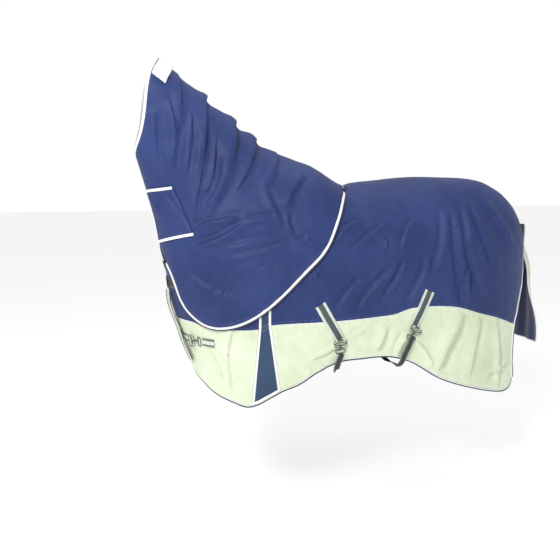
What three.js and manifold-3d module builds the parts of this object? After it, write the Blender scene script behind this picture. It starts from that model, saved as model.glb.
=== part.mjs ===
// Combo turnout rug for a 16 hand horse: body rug, neck cover, chest fastenings, crossed belly straps, tail flap.
// Millimetres. +X runs to the tail, -Y is the near (left) side, +Z is up.
// The origin is on the centre line inside the lining at the withers, where the rug rests on the horse.
import * as THREE from 'three';
import { mergeVertices } from 'three/addons/utils/BufferGeometryUtils.js';
import Module from 'manifold-3d';

// ---------- the horse's form, which every panel is cut to ----------
const TOPLINE = [[-560, -20], [-100, 0], [0, 0], [100, -20], [170, -60], [250, -98], [340, -80],
  [440, -69], [640, -53], [860, -55], [1000, -50], [1280, -50]];
const WIDEST_HEIGHT = [[-560, -480], [0, -440], [500, -430], [1280, -430]];
const HALF_WIDTH = [[-560, 262], [-100, 272], [200, 300], [500, 318], [750, 315], [1000, 292], [1280, 280]];
const CHEST = { start: -30, depth: 490 };
const RUMP = { start: 800, depth: 440 };
const NECK = { x: -625, z: 240, slope: [0.634, -0.775], crest: [0.775, 0.634] };
const NECK_BLEND = 110;

// ---------- cloth ----------
const LAYER = { lining: [0, 1.2], wadding: [1.8, 4.4], shell: [5, 6.2], edging: [0, 6.4], trim: [7.4, 9] };
const NECK_LAYER = { lining: [14, 15.2], shell: [15.8, 17], edging: [14, 17.2], flap: [21.4, 22.8], pad: [22, 27] };
const GAP = 0.4;
const PIPING = { hem: 4, rim: 8, gusset: 10, neck: 12 };
const BINDING = { hem: 5, rim: 7, bib: 4 };
const WEB = 49;
const COLUMNS = 24;
const ROWS = { upper: 7, lower: 3 };
const NECK_COLUMNS = 18;
const NECK_ROWS = 9;

// Cutting lines of one side of the body rug, from the breast to the tail:
// [neckline or spine], [seam of the navy and pale cloth], [hem].
const BODY_LINES = [
  [[-522, -2, -440], [-498, -2, -655], [-440, -2, -900]],
  [[-482, -105, -395], [-476, -122, -660], [-418, -108, -945]],
  [[-405, -175, -325], [-392, -199, -680], [-373, -158, -978]],
  [[-300, -215, -240], [-292, -250, -688], [-300, -220, -1010]],
  [[-195, -205, -150], [-203, -276, -684], [-232, -256, -1022]],
  [[-150, -170, -110], [-152, -285, -668], [-112, -290, -958]],
  [[-85, -85, -40], [-58, -297, -664], [-28, -302, -925]],
  [[-30, 0, 5], [40, -305, -664], [60, -311, -870]],
  [[80, 0, -15], [150, -315, -662], [157, -317, -836]],
  [[190, 0, -70], [250, -320, -658], [252, -322, -830]],
  [[250, 0, -98], [330, -323, -653], [336, -325, -828]],
  [[330, 0, -82], [408, -325, -647], [416, -328, -836]],
  [[450, 0, -70], [490, -326, -624], [506, -332, -868]],
  [[590, 0, -58], [610, -327, -622], [632, -340, -946]],
  [[730, 0, -54], [730, -324, -636], [745, -341, -992]],
  [[870, 0, -55], [845, -312, -672], [887, -328, -1036]],
  [[1010, 0, -60], [955, -288, -704], [1000, -307, -1062]],
  [[1150, 0, -110], [1036, -266, -734], [1062, -280, -1058]],
  [[1283, 0, -262], [1096, -246, -757], [1096, -266, -1022]]];
const RIM_CONTROL = [1278, -196, -380];
const GUSSET = [4, 5];

// Cutting lines of one side of the neck cover, from the poll to the back:
// [crest], [throat closing, then the lower edge of the bib], how far out the side bulges, how high.
const NECK_LINES = [
  [[-592, 0, 395], [-655, -2, 40], 190, 0.5],
  [[-510, 0, 345], [-640, -2, -110], 235, 0.5],
  [[-430, 0, 300], [-602, -2, -220], 290, 0.5],
  [[-350, 0, 250], [-553, -2, -328], 350, 0.5],
  [[-280, 0, 205], [-524, -96, -463], 340, 0.4],
  [[-215, 0, 160], [-484, -138, -592], 330, 0.35],
  [[-150, 0, 115], [-395, -199, -668], 330, 0.25],
  [[-85, 0, 70], [-275, -256, -652], 330, 0.15],
  [[-20, 0, 35], [-150, -285, -573], 320, 0.05],
  [[50, 0, 10], [-12, -294, -441], 310, 0],
  [[120, 0, -20], [77, -294, -353], 300, 0],
  [[180, 0, -50], [136, -268, -245], 280, 0],
  [[222, 0, -72], [180, -215, -160], 240, 0],
  [[256, 0, -85], [226, -120, -110], 130, 0]];

// ---------- fastenings ----------
const FRONT_PATCH = [[60, -308, -586], [105, -313, -665], [151, -317, -742]];
const REAR_PATCH = [[574, -328, -548], [538, -327, -630], [502, -326, -706]];
const WIRE = 4;
const HOOK_UP = { front: [-0.1, 0, 1], rear: [0.036, 0, 0.076] };
const BELLY = -864;
const BELLY_STRAP = { width: 28, thick: 1.6 };

const FRONT_STRAP = [[153, -331, -799], [144, -333, -820], [135, -334, -842], [131, -324, -872],
  [140, -296, -877], [172, -240, -872], [240, -140, BELLY], [400, 82, BELLY], [452, 168, -868],
  [480, 250, -876], [493, 322, -889], [498, 350, -868], [500, 346, -810], [501, 338, -752], [503, 335, -716]];
const REAR_STRAP = [[492, -336, -748], [474, -340, -786], [452, -343, -826], [440, -336, -864],
  [432, -312, -882], [420, -250, -882], [400, -138, BELLY - 8], [250, 106, BELLY - 8], [205, 178, -876],
  [165, 258, -880], [144, 312, -882], [136, 336, -864], [138, 335, -828], [142, 331, -795], [149, 327, -754]];
const SLIDER = { front: { at: [268.4, -100.6, -864.8], heading: [160, 222] },
  rear: { at: [383.2, -110.7, -872.8], heading: [-150, 244] }, half: [26, 5], slot: [20, 2.4], depth: 16 };

// Chest: a strap and buckle above, a T-hook below, and the strap's tail, whose last number is its height.
const UPPER_CHEST = { near: [[-486, -112, -498], [-514, -70, -500], [-524, -42, -501]],
  off: [[-524, -14, -501], [-517, 55, -500], [-486, 112, -498], [-420, 176, -496]] };
const LOWER_CHEST = { near: [[-380, -195, -751], [-402, -178, -750], [-424, -158, -748]],
  off: [[-478, -86, -744], [-500, 0, -744], [-478, 86, -744], [-430, 150, -744]] };
const CHEST_WEB = [9, 10.6];
const CHEST_STRAP = 40;
const CHEST_PATCH = 34;
const CHEST_HOOK = [-452, -126, -746];
const BUCKLE = { at: [-525, -28, -501], height: 11.4, frame: [30, 52, 3], gap: [22, 44], prong: 25 };
const TAIL_TWIST = [-0.27, 0.963];
const TAIL_END = [[-538, -27, -534, 14], [-541, -30, -585, 17], [-537, -34, -640, 19], [-530, -40, -700, 19],
  [-519, -46, -760, 20], [-506, -54, -815, 16], [-490, -66, -866, 14]];

// ---------- flaps and pad ----------
// Throat flap: its sewn edge, the front of the neck, and its free edge; top and bottom point of each.
const THROAT = { sewn: [[-528, -118, -86], [-449, -176, -288]], front: [[-612, -62, -98], [-525, -80, -312]],
  free: [[-643, 6, -106], [-559, 8, -328]], columns: 6, rows: 4, clear: 4.8, piping: [21.4, 23.8] };
// Tail flap: half widths at its top and bottom, how far its sides come forward, and its middle line.
// Its panel stops short of the piping round it, both as shares of the flap.
const TAIL = { narrow: 72, wide: 128, wrap: 74, thick: 4, steps: 8,
  profile: [[1262, 0, -282], [1304, 0, -385], [1349, 0, -500], [1348, 0, -620], [1354, 0, -760], [1352, 0, -900]],
  panel: { half: 0.965, length: 0.994 }, side: [0.972, 1.012], foot: [0.997, 1.008] };
const WITHER_TAB = { from: 115, to: 185, half: 26, heights: [8.6, 12] };
const POLL_PAD = { places: [0.004, 0.03, 0.056], reach: 0.33, steps: 5, columns: 3 };

const COLOURS = {
  navy: [0x39457f, 0.62], mint: [0xe2f0cc, 0.66], gusset: [0x30486a, 0.62], lining: [0x2a3150, 0.8],
  wadding: [0xf2f2ee, 0.95], binding: [0x252d40, 0.75], piping: [0xf7f7f4, 0.6], web: [0x35443f, 0.8],
  patch: [0x57706c, 0.8], fleece: [0xeceef2, 0.95], steel: [0xb8bcc0, 0.3]
};

const rug = new THREE.Group();

// ---------- form ----------
/** Smooth curve through [place, value] pairs, level beyond both ends. */
function through(table, x) {
  const last = table.length - 1;
  const at = Math.min(Math.max(x, table[0][0]), table[last][0]);
  let i = 0;
  while (i < last - 1 && at >= table[i + 1][0]) i++;
  const slope = (k) => {
    const rise = (a, b) => (table[b][1] - table[a][1]) / (table[b][0] - table[a][0]);
    if (k === 0) return rise(0, 1);
    if (k === last) return rise(last - 1, last);
    const before = table[k][0] - table[k - 1][0];
    const after = table[k + 1][0] - table[k][0];
    return (rise(k - 1, k) * after + rise(k, k + 1) * before) / (before + after);
  };
  const span = table[i + 1][0] - table[i][0];
  const u = (at - table[i][0]) / span;
  return (2 * u ** 3 - 3 * u ** 2 + 1) * table[i][1] + (u ** 3 - 2 * u ** 2 + u) * span * slope(i)
    + (3 * u ** 2 - 2 * u ** 3) * table[i + 1][1] + (u ** 3 - u ** 2) * span * slope(i + 1);
}

/** Barrel, chest and rump: zero on the form, above zero outside it. */
function trunk(x, y, z) {
  const widest = through(WIDEST_HEIGHT, x);
  const rise = through(TOPLINE, x) - widest;
  const low = THREE.MathUtils.smoothstep(-z, 520, 960);
  const chestX = x - 105 * low * THREE.MathUtils.smoothstep(-x, 0, 400);
  const waist = 0.10 * THREE.MathUtils.smoothstep(-z, 620, 880) * Math.exp(-(((x - 240) / 330) ** 2));
  const half = through(HALF_WIDTH, x) * (1 - waist);
  const chest = Math.max(0, (CHEST.start - chestX) / CHEST.depth);
  const rump = Math.max(0, (x - RUMP.start) / RUMP.depth);
  return (Math.abs(y) / half) ** 2.2 + (Math.max(z - widest, 0) / rise) ** 2.1 + chest ** 2.4 + rump ** 2.6 - 1;
}

/** Neck: an oval that grows from the poll down to the shoulder. */
function neck(x, y, z) {
  const dx = x - NECK.x;
  const dz = z - NECK.z;
  const along = dx * NECK.slope[0] + dz * NECK.slope[1];
  const across = dx * NECK.crest[0] + dz * NECK.crest[1];
  const depth = Math.max(132 + 0.33 * along, 60);
  const half = Math.max(80 + 0.15 * along, 50);
  return Math.hypot((across - (55 - 0.12 * along)) / depth, y / half) - 1;
}

/** Nearly the distance from one of the two forms. */
function distance(shape, x, y, z) {
  const e = 0.5;
  const slope = Math.hypot(shape(x + e, y, z) - shape(x - e, y, z),
    shape(x, y + e, z) - shape(x, y - e, z), shape(x, y, z + e) - shape(x, y, z - e)) / (2 * e);
  return shape(x, y, z) / Math.max(slope, 1e-6);
}

/** Distance from the whole horse, with the neck flowing into the trunk. */
function form(x, y, z) {
  const a = distance(trunk, x, y, z);
  const b = distance(neck, x, y, z);
  const h = THREE.MathUtils.clamp(0.5 + 0.5 * (b - a) / NECK_BLEND, 0, 1);
  return b * (1 - h) + a * h - NECK_BLEND * h * (1 - h);
}

function outward(p) {
  const e = 1;
  return new THREE.Vector3(form(p.x + e, p.y, p.z) - form(p.x - e, p.y, p.z),
    form(p.x, p.y + e, p.z) - form(p.x, p.y - e, p.z),
    form(p.x, p.y, p.z + e) - form(p.x, p.y, p.z - e)).divideScalar(2 * e);
}

/** The point straight off the form from p, at a height above it. */
function settle(p, height) {
  const q = p.clone();
  for (let pass = 0; pass < 8; pass++) {
    const slope = outward(q);
    q.addScaledVector(slope, -(form(q.x, q.y, q.z) - height) / Math.max(slope.lengthSq(), 1e-6));
  }
  return q;
}

// ---------- surfaces ----------
const vec = (a) => new THREE.Vector3(a[0], a[1], a[2]);

/** Smooth line through a few points, at a share t of its knots. */
function lineAt(points, t) {
  const at = t * (points.length - 1);
  const i = Math.min(Math.floor(at), points.length - 2);
  const pick = (k) => vec(points[THREE.MathUtils.clamp(k, 0, points.length - 1)]);
  const [a, b, c, d] = [pick(i - 1), pick(i), pick(i + 1), pick(i + 2)];
  const u = at - i;
  const blend = (j) => 0.5 * (2 * b.getComponent(j) + (c.getComponent(j) - a.getComponent(j)) * u
    + (2 * a.getComponent(j) - 5 * b.getComponent(j) + 4 * c.getComponent(j) - d.getComponent(j)) * u * u
    + (3 * b.getComponent(j) - a.getComponent(j) - 3 * c.getComponent(j) + d.getComponent(j)) * u ** 3);
  return new THREE.Vector3(blend(0), blend(1), blend(2));
}

function bow(a, control, b, v) {
  return a.clone().multiplyScalar((1 - v) ** 2).addScaledVector(control, 2 * v * (1 - v)).addScaledVector(b, v * v);
}

/** One column of the body rug at place u (0 breast, 1 tail): spine to seam, then seam to hem. */
function bodyColumn(u) {
  const [top, seam, hem] = [0, 1, 2].map((k) => lineAt(BODY_LINES.map((row) => row[k]), u));
  const plain = new THREE.Vector3((top.x + seam.x) / 2, seam.y * 1.05, top.z);
  const control = plain.lerp(vec(RIM_CONTROL), THREE.MathUtils.smoothstep(u, 0.88, 1));
  const upper = Array.from({ length: ROWS.upper + 1 }, (_, i) => bow(top, control, seam, i / ROWS.upper));
  const lower = Array.from({ length: ROWS.lower + 1 }, (_, i) => seam.clone().lerp(hem, i / ROWS.lower));
  return { upper, lower };
}

function neckColumn(u) {
  const crest = lineAt(NECK_LINES.map((row) => row[0]), u);
  const edge = lineAt(NECK_LINES.map((row) => row[1]), u);
  const place = u * (NECK_LINES.length - 1);
  const knots = (k) => NECK_LINES.map((row, i) => [i, row[k]]);
  const control = new THREE.Vector3((crest.x + edge.x) / 2, -through(knots(2), place),
    THREE.MathUtils.lerp(crest.z, edge.z, through(knots(3), place)));
  return Array.from({ length: NECK_ROWS + 1 }, (_, i) => bow(crest, control, edge, i / NECK_ROWS));
}

/** Pulls the four edges of a grid of points in, so that neighbours don't touch. */
function inset(grid, by) {
  const toward = (p, q) => p.clone().add(q.clone().sub(p).setLength(by));
  const rows = grid.map((column) => {
    const n = column.length - 1;
    return column.map((p, i) => (i === 0 ? toward(p, column[1]) : i === n ? toward(p, column[n - 1]) : p));
  });
  const m = rows.length - 1;
  return rows.map((column, j) => column.map((p, i) => {
    if (j > 0 && j < m) return p;
    return toward(p, rows[j === 0 ? 1 : m - 1][i]);
  }));
}

/** A closed solid between two like grids of points. */
function slab(inner, outer) {
  const [m, n] = [inner.length, inner[0].length];
  const positions = [...inner.flat(), ...outer.flat()].flatMap((p) => [p.x, p.y, p.z]);
  const index = [];
  const id = (layer, j, i) => layer * m * n + j * n + i;
  const quad = (a, b, c, d) => index.push(a, b, c, a, c, d);
  for (let j = 0; j < m - 1; j++) {
    for (let i = 0; i < n - 1; i++) {
      const corners = (k) => [id(k, j, i), id(k, j + 1, i), id(k, j + 1, i + 1), id(k, j, i + 1)];
      const [a, b, c, d] = corners(0);
      index.push(a, c, b, a, d, c);
      quad(...corners(1));
    }
  }
  const rim = [];
  for (let j = 0; j < m - 1; j++) rim.push([j, 0]);
  for (let i = 0; i < n - 1; i++) rim.push([m - 1, i]);
  for (let j = m - 1; j > 0; j--) rim.push([j, n - 1]);
  for (let i = n - 1; i > 0; i--) rim.push([0, i]);
  rim.forEach(([j, i], k) => {
    const [jj, ii] = rim[(k + 1) % rim.length];
    quad(id(0, j, i), id(0, jj, ii), id(1, jj, ii), id(1, j, i));
  });
  const geometry = new THREE.BufferGeometry();
  geometry.setAttribute('position', new THREE.Float32BufferAttribute(positions, 3));
  geometry.setIndex(index);
  return faceOut(geometry);
}

/** Turns a closed mesh right side out. */
function faceOut(geometry) {
  const p = geometry.attributes.position;
  const index = geometry.index.array;
  const [a, b, c] = [new THREE.Vector3(), new THREE.Vector3(), new THREE.Vector3()];
  let volume = 0;
  for (let i = 0; i < index.length; i += 3) {
    [a, b, c].forEach((v, k) => v.fromBufferAttribute(p, index[i + k]));
    volume += a.dot(b.cross(c));
  }
  if (volume < 0) {
    for (let i = 0; i < index.length; i += 3) [index[i], index[i + 1]] = [index[i + 1], index[i]];
  }
  geometry.computeVertexNormals();
  return geometry;
}

const settleGrid = (grid, height) => grid.map((column) => column.map((p) => settle(p, height)));
const layer = (grid, heights) => slab(...heights.map((height) => settleGrid(grid, height)));

/** A layer of near side cloth, which stops just short of the centre line. */
function sideLayer(grid, heights) {
  return slab(...heights.map((height) => settleGrid(grid, height).map((column) => column.map((p) =>
    new THREE.Vector3(p.x, Math.min(p.y, -GAP), p.z)))));
}
const mirrored = (geometry) => faceOut(geometry.clone().applyMatrix4(new THREE.Matrix4().makeScale(1, -1, 1)));

function add(name, geometry, finish, metal = 0) {
  const [color, roughness] = COLOURS[finish];
  const mesh = new THREE.Mesh(geometry, new THREE.MeshStandardMaterial({ color, roughness, metalness: metal }));
  mesh.name = name;
  rug.add(mesh);
}

function pair(name, geometry, finish, metal = 0) {
  add(`${name}_near`, geometry, finish, metal);
  add(`${name}_off`, mirrored(geometry), finish, metal);
}

// ---------- body rug ----------
/** Columns of the body grid; the gusset's two edges are always among them. */
function bodyPlaces() {
  const last = BODY_LINES.length - 1;
  const [front, back] = GUSSET.map((k) => k / last);
  const share = (a, b, n) => Array.from({ length: n }, (_, i) => a + (b - a) * i / n);
  const rear = COLUMNS - 7;
  return [...share(0, front, 6), ...share(front, back, 1), ...share(back, 1, rear), 1];
}
const places = bodyPlaces();
const columns = places.map(bodyColumn);
const gussetFrom = places.indexOf(GUSSET[0] / (BODY_LINES.length - 1));

function bodyPanels() {
  const whole = columns.map((c) => [...c.upper, ...c.lower.slice(1)]);
  pair('lining', sideLayer(inset(whole, GAP), LAYER.lining), 'lining');
  pair('wadding', sideLayer(inset(whole, GAP), LAYER.wadding), 'wadding');
  pair('shell', sideLayer(inset(columns.map((c) => c.upper), GAP), LAYER.shell), 'navy');
  const lower = columns.map((c) => c.lower);
  pair('chest_panel', sideLayer(inset(lower.slice(0, gussetFrom + 1), GAP), LAYER.shell), 'mint');
  pair('gusset', sideLayer(inset(lower.slice(gussetFrom, gussetFrom + 2), GAP), LAYER.shell), 'gusset');
  pair('skirt', sideLayer(inset(lower.slice(gussetFrom + 1), GAP), LAYER.shell), 'mint');
}

/** Piping up one edge of the gusset, across its top and down the other edge. */
function gussetPiping() {
  const [left, right] = [columns[gussetFrom].lower, columns[gussetFrom + 1].lower];
  const width = PIPING.gusset;
  const toward = (p, q) => p.clone().add(q.clone().sub(p).setLength(width));
  const side = (edge, other) => edge.map((p, i) => [p, toward(p, other[i])]).reverse();
  const strip = [...side(left, right), ...side(right, left).reverse()];
  const drop = new THREE.Vector3(0, 0, -width);
  for (const k of [left.length - 1, left.length]) strip[k][1].add(drop);
  pair('gusset_piping', sideLayer(strip, LAYER.trim), 'piping');
}

/** A strip that runs along the end of the columns, from one distance past it to another. */
function edgeStrip(ends, from, to) {
  return ends.map(([inside, edge]) => [from, to].map((past) =>
    edge.clone().add(edge.clone().sub(inside).setLength(past))));
}

function bodyEdges() {
  const hem = columns.map((c) => [c.lower.at(-2), c.lower.at(-1)]);
  const last = columns.at(-1);
  const before = columns.at(-2);
  const rimPoints = (c) => [...c.upper, ...c.lower.slice(1)];
  const rim = rimPoints(last).map((p, i) => [rimPoints(before)[i], p]).slice(1);
  for (const [name, ends] of [['hem', hem], ['rim', rim]]) {
    const from = PIPING[name] + 3 * GAP;
    pair(`${name}_piping`, sideLayer(edgeStrip(ends, GAP, PIPING[name]), LAYER.edging), 'piping');
    pair(`${name}_binding`, sideLayer(edgeStrip(ends, from, from + BINDING[name]), LAYER.edging), 'binding');
  }
}

function stripAlong(points, width, heights) {
  const grid = points.map((p, i) => {
    const run = points[Math.min(i + 1, points.length - 1)].clone().sub(points[Math.max(i - 1, 0)]);
    const side = run.cross(outward(p)).setLength(width / 2);
    return [-1, 0, 1].map((k) => p.clone().addScaledVector(side, k));
  });
  return layer(grid, heights);
}

// ---------- neck cover ----------
const neckColumns = Array.from({ length: NECK_COLUMNS + 1 }, (_, j) => neckColumn(j / NECK_COLUMNS));

function neckCover() {
  pair('neck_lining', sideLayer(inset(neckColumns, GAP), NECK_LAYER.lining), 'lining');
  pair('neck_shell', sideLayer(inset(neckColumns, GAP), NECK_LAYER.shell), 'navy');
  const front = neckColumns[0].map((p, i) => [neckColumns[1][i], p]).slice(1, -1);
  pair('neck_front_piping', sideLayer(edgeStrip(front, GAP, PIPING.neck), NECK_LAYER.edging), 'piping');
  const [before, rear] = neckColumns.slice(-2);
  const bib = neckColumns.slice(5, -1).map((c) => [c.at(-2), c.at(-1)]);
  bib.push([before.at(-2), rear.at(-1)]);
  for (let i = NECK_ROWS - 1; i > 0; i--) bib.push([before[i], rear[i]]);
  const from = PIPING.neck + 6 * GAP;
  pair('bib_piping', sideLayer(edgeStrip(bib, GAP, PIPING.neck), NECK_LAYER.edging), 'piping');
  pair('bib_binding', sideLayer(edgeStrip(bib, from, from + BINDING.bib), NECK_LAYER.edging), 'binding');
}

/** Touch-and-close tab on the body rug, which holds the back of the neck cover at the withers. */
function witherTab() {
  const { from, to, half, heights } = WITHER_TAB;
  const grid = [from, (from + to) / 2, to].map((x) => [-half, 0, half].map((y) => new THREE.Vector3(x, y, -40)));
  add('wither_tab', layer(grid, heights), 'binding');
}

/** Fleece pad over the poll, across the crest from one side to the other. */
function pollPad() {
  const { places: shares, reach, steps, columns: wide } = POLL_PAD;
  const grid = shares.map((u) => {
    const near = neckColumn(u).slice(0, wide + 1).map((p) => p.toArray());
    const fine = Array.from({ length: steps + 1 }, (_, i) => lineAt(near, reach * i / steps));
    fine[0].y = 0;
    const off = fine.slice(1).map((p) => new THREE.Vector3(p.x, -p.y, p.z));
    return [...fine.slice().reverse(), ...off];
  });
  add('poll_pad', layer(grid, NECK_LAYER.pad), 'fleece');
}

/** Throat flap: sewn down on the near side and closed round the front on the off side. */
function throatFlap() {
  const { columns: wide, rows: deep } = THROAT;
  const grid = Array.from({ length: wide + 1 }, (_, j) => Array.from({ length: deep + 1 }, (_, i) => {
    const lines = [THROAT.sewn, THROAT.front, THROAT.free];
    return lineAt(lines.map(([top, low]) => vec(top).lerp(vec(low), i / deep).toArray()), j / wide);
  }));
  add('throat_flap', layer(inset(grid, PIPING.neck + THROAT.clear), NECK_LAYER.flap), 'navy');
  add('throat_flap_piping', layer(flapPiping(grid, PIPING.neck), THROAT.piping), 'piping');
}

/** A strip along the top of a flap, down its free edge and back along its foot. */
function flapPiping(grid, width) {
  const toward = (p, q) => p.clone().add(q.clone().sub(p).setLength(width));
  const [before, end] = grid.slice(-2);
  const foot = end.length - 1;
  const along = (row, next) => grid.slice(0, -1).map((column) => [column[row], toward(column[row], column[next])]);
  const corner = (row, next) => {
    const inside = toward(end[row], before[row]).add(end[next]).sub(end[row]);
    return [end[row], toward(toward(end[row], before[row]), inside)];
  };
  const down = end.slice(1, -1).map((p, i) => [p, toward(p, before[i + 1])]);
  return [...along(0, 1), corner(0, 1), ...down, corner(foot, foot - 1), ...along(foot, foot - 1).reverse()];
}

/** Tail flap: hangs from the back of the rim, pale outside, and wraps a little round the tail. */
function tailFlap() {
  const { narrow, wide, thick, steps, panel, side, foot } = TAIL;
  const place = (across, down, shift) => {
    const p = lineAt(TAIL.profile, down);
    const half = THREE.MathUtils.lerp(narrow, wide, THREE.MathUtils.smoothstep(down, 0.1, 0.9));
    const open = 1 - 0.8 * THREE.MathUtils.smoothstep(down, 0.5, 0.95);
    const wrap = TAIL.wrap * THREE.MathUtils.smoothstep(down, 0, 0.35) * open * across * across;
    return new THREE.Vector3(p.x - wrap + shift, half * across, p.z);
  };
  const shares = Array.from({ length: steps + 1 }, (_, i) => i / steps);
  const grid = (shift) => shares.map((a) => shares.map((d) =>
    place((2 * a - 1) * panel.half, d * panel.length, shift)));
  add('tail_flap', slab(grid(0), grid(thick)), 'mint');
  const sides = (sign, shift) => shares.map((d) => side.map((across, k) =>
    place(sign * across, d < 1 ? d : foot[k], shift)));
  const strip = (shift) => [...sides(-1, shift),
    ...shares.slice(1, -1).map((a) => foot.map((down) => place((2 * a - 1) * side[0], down, shift))),
    ...sides(1, shift).reverse()];
  add('tail_flap_piping', slab(strip(-1), strip(thick + 1)), 'piping');
}

// ---------- fastenings ----------
const wasm = await Module();
wasm.setup();

function solid(geometry) {
  const bare = geometry.clone();
  bare.deleteAttribute('normal');
  bare.deleteAttribute('uv');
  const merged = mergeVertices(bare, 1e-4);
  return new wasm.Manifold(new wasm.Mesh({ numProp: 3,
    vertProperties: merged.attributes.position.array, triVerts: new Uint32Array(merged.index.array) }));
}

function meshOf(body) {
  const { vertProperties, triVerts } = body.getMesh();
  const geometry = new THREE.BufferGeometry();
  geometry.setAttribute('position', new THREE.BufferAttribute(vertProperties.slice(), 3));
  geometry.setIndex([...triVerts]);
  return geometry;
}

const box = (w, l, h, x, y, z) => new THREE.BoxGeometry(w, l, h).translate(x, y, z);
const rod = (r, l, x, y, z) => new THREE.CylinderGeometry(r, r, l, 10).rotateZ(Math.PI / 2).translate(x, y, z);
const joined = (parts) => meshOf(parts.map(solid).reduce((a, b) => a.add(b)));

function plateWith(width, length, thick, slots) {
  const outline = new THREE.Shape([[-1, -1], [1, -1], [1, 1], [-1, 1]].map(([x, y]) =>
    new THREE.Vector2(x * width / 2, y * length / 2)));
  outline.holes = slots.map(([y, w, l]) => new THREE.Path([[-1, -1], [-1, 1], [1, 1], [1, -1]].map(([sx, sy]) =>
    new THREE.Vector2(sx * w / 2, y + sy * l / 2))));
  return meshOf(solid(new THREE.ExtrudeGeometry(outline, { depth: thick, bevelEnabled: false })));
}

/** Stands a fitting on the cloth: its X across the webbing, its Y up the webbing, its Z outwards. */
function seat(geometry, at, up, height) {
  const base = settle(vec(at), height);
  const out = outward(base).normalize();
  const across = new THREE.Vector3().crossVectors(vec(up), out).normalize();
  const along = new THREE.Vector3().crossVectors(out, across);
  return faceOut(geometry.clone().applyMatrix4(new THREE.Matrix4().makeBasis(across, along, out).setPosition(base)));
}

/** T-hook: a bar for the strap, a stem that rises through the slot, and the cross bar outside it. */
const tHook = () => joined([rod(WIRE / 2, 46, 0, -34, 2), rod(WIRE / 2, 46, 0, -20, 2),
  box(WIRE, 14, WIRE, -21, -27, 2), box(WIRE, 14, WIRE, 21, -27, 2), box(9, 25, 3, 0, -8.5, 2),
  box(9, 3.4, 15, 0, 2.4, 8), rod(2.2, 44, 0, 2.4, 15.5)]);
const slotPlate = () => plateWith(58, 34, 2, [[9, 50, 5], [-6.5, 46, 11]]);

function fastening(name, at, up, base) {
  add(`${name}_slot_plate`, seat(slotPlate().translate(0, 9, 0), at, up, base + 9), 'steel', 1);
  add(`${name}_t_hook`, seat(tHook(), at, up, base), 'steel', 1);
}

const webLine = (path, steps = 5) => Array.from({ length: steps + 1 }, (_, i) => lineAt(path, i / steps));

/** Flat webbing through free points: it faces down under the belly and turns to face out up the flanks. */
function ribbon(points, width, thick) {
  const grid = (shift) => points.map((p, i) => {
    const run = vec(points[Math.min(i + 1, points.length - 1)]).sub(vec(points[Math.max(i - 1, 0)]));
    const flank = THREE.MathUtils.smoothstep(Math.abs(p[1]), 175, 325);
    const out = new THREE.Vector3(0, Math.sign(p[1]) * flank, flank - 1);
    const side = new THREE.Vector3().crossVectors(run, out).setLength(width / 2);
    const face = new THREE.Vector3().crossVectors(side, run).normalize();
    if (face.dot(out) < 0) face.negate();
    return [-1, 1].map((k) => vec(p).addScaledVector(side, k).addScaledVector(face, shift));
  });
  return slab(grid(0), grid(thick));
}

/** Slide adjuster: a ring round a belly strap, at a point and along a heading in plan. */
function slider(name, { at, heading }) {
  const { half, slot, depth } = SLIDER;
  const corner = ([w, h]) => ([x, y]) => new THREE.Vector2(x * w, y * h);
  const outline = new THREE.Shape([[-1, -1], [1, -1], [1, 1], [-1, 1]].map(corner(half)));
  outline.holes = [new THREE.Path([[-1, -1], [-1, 1], [1, 1], [1, -1]].map(corner(slot)))];
  const ring = new THREE.ExtrudeGeometry(outline, { depth, bevelEnabled: false }).translate(0, 0, -depth / 2);
  const along = new THREE.Vector3(...heading, 0).normalize();
  const up = new THREE.Vector3(0, 0, 1);
  const turn = new THREE.Matrix4().makeBasis(new THREE.Vector3().crossVectors(up, along), up, along);
  add(name, faceOut(meshOf(solid(ring)).applyMatrix4(turn.setPosition(vec(at)))), 'steel', 1);
}

function bellyFastenings() {
  for (const [name, path, up] of [['front', FRONT_PATCH, HOOK_UP.front], ['rear', REAR_PATCH, HOOK_UP.rear]]) {
    pair(`${name}_patch`, stripAlong(webLine(path), WEB, LAYER.trim), 'patch');
    fastening(name, lineAt(path, 1).add(new THREE.Vector3(0, 0, -26)).toArray(), up, 8);
  }
  add('front_belly_strap', ribbon(FRONT_STRAP, BELLY_STRAP.width, BELLY_STRAP.thick), 'web');
  add('rear_belly_strap', ribbon(REAR_STRAP, BELLY_STRAP.width, BELLY_STRAP.thick), 'web');
  slider('front_strap_slider', SLIDER.front);
  slider('rear_strap_slider', SLIDER.rear);
}

/** Front of the chest: a strap and buckle above, a T-hook below, the strap's tail hanging between. */
function chestFastenings() {
  const { near, off } = UPPER_CHEST;
  const { frame, gap, height, prong } = BUCKLE;
  const buckle = settle(vec(BUCKLE.at), height).toArray();
  add('upper_chest_strap_near', stripAlong(webLine(near), CHEST_STRAP, CHEST_WEB), 'web');
  add('upper_chest_strap_off', stripAlong(webLine(off, 9), CHEST_STRAP, CHEST_WEB), 'web');
  add('chest_buckle_frame', seat(plateWith(...frame, [[0, ...gap]]), buckle, [0, 0, 1], height), 'steel', 1);
  add('chest_buckle_prong', seat(rod(1.6, prong, 0, 0, 5.2), buckle, [0, 0, 1], height), 'steel', 1);
  add('upper_strap_tail', hangingWeb(TAIL_END, WEB, 1.6), 'web');
  add('lower_chest_patch_near', stripAlong(webLine(LOWER_CHEST.near), CHEST_PATCH, CHEST_WEB), 'patch');
  add('lower_chest_patch_off', stripAlong(webLine(LOWER_CHEST.off, 10), CHEST_PATCH, CHEST_WEB), 'patch');
  const across = vec(LOWER_CHEST.near[1]).sub(vec(LOWER_CHEST.near[2])).negate().toArray();
  fastening('chest', CHEST_HOOK, across, CHEST_WEB[0]);
}

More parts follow.
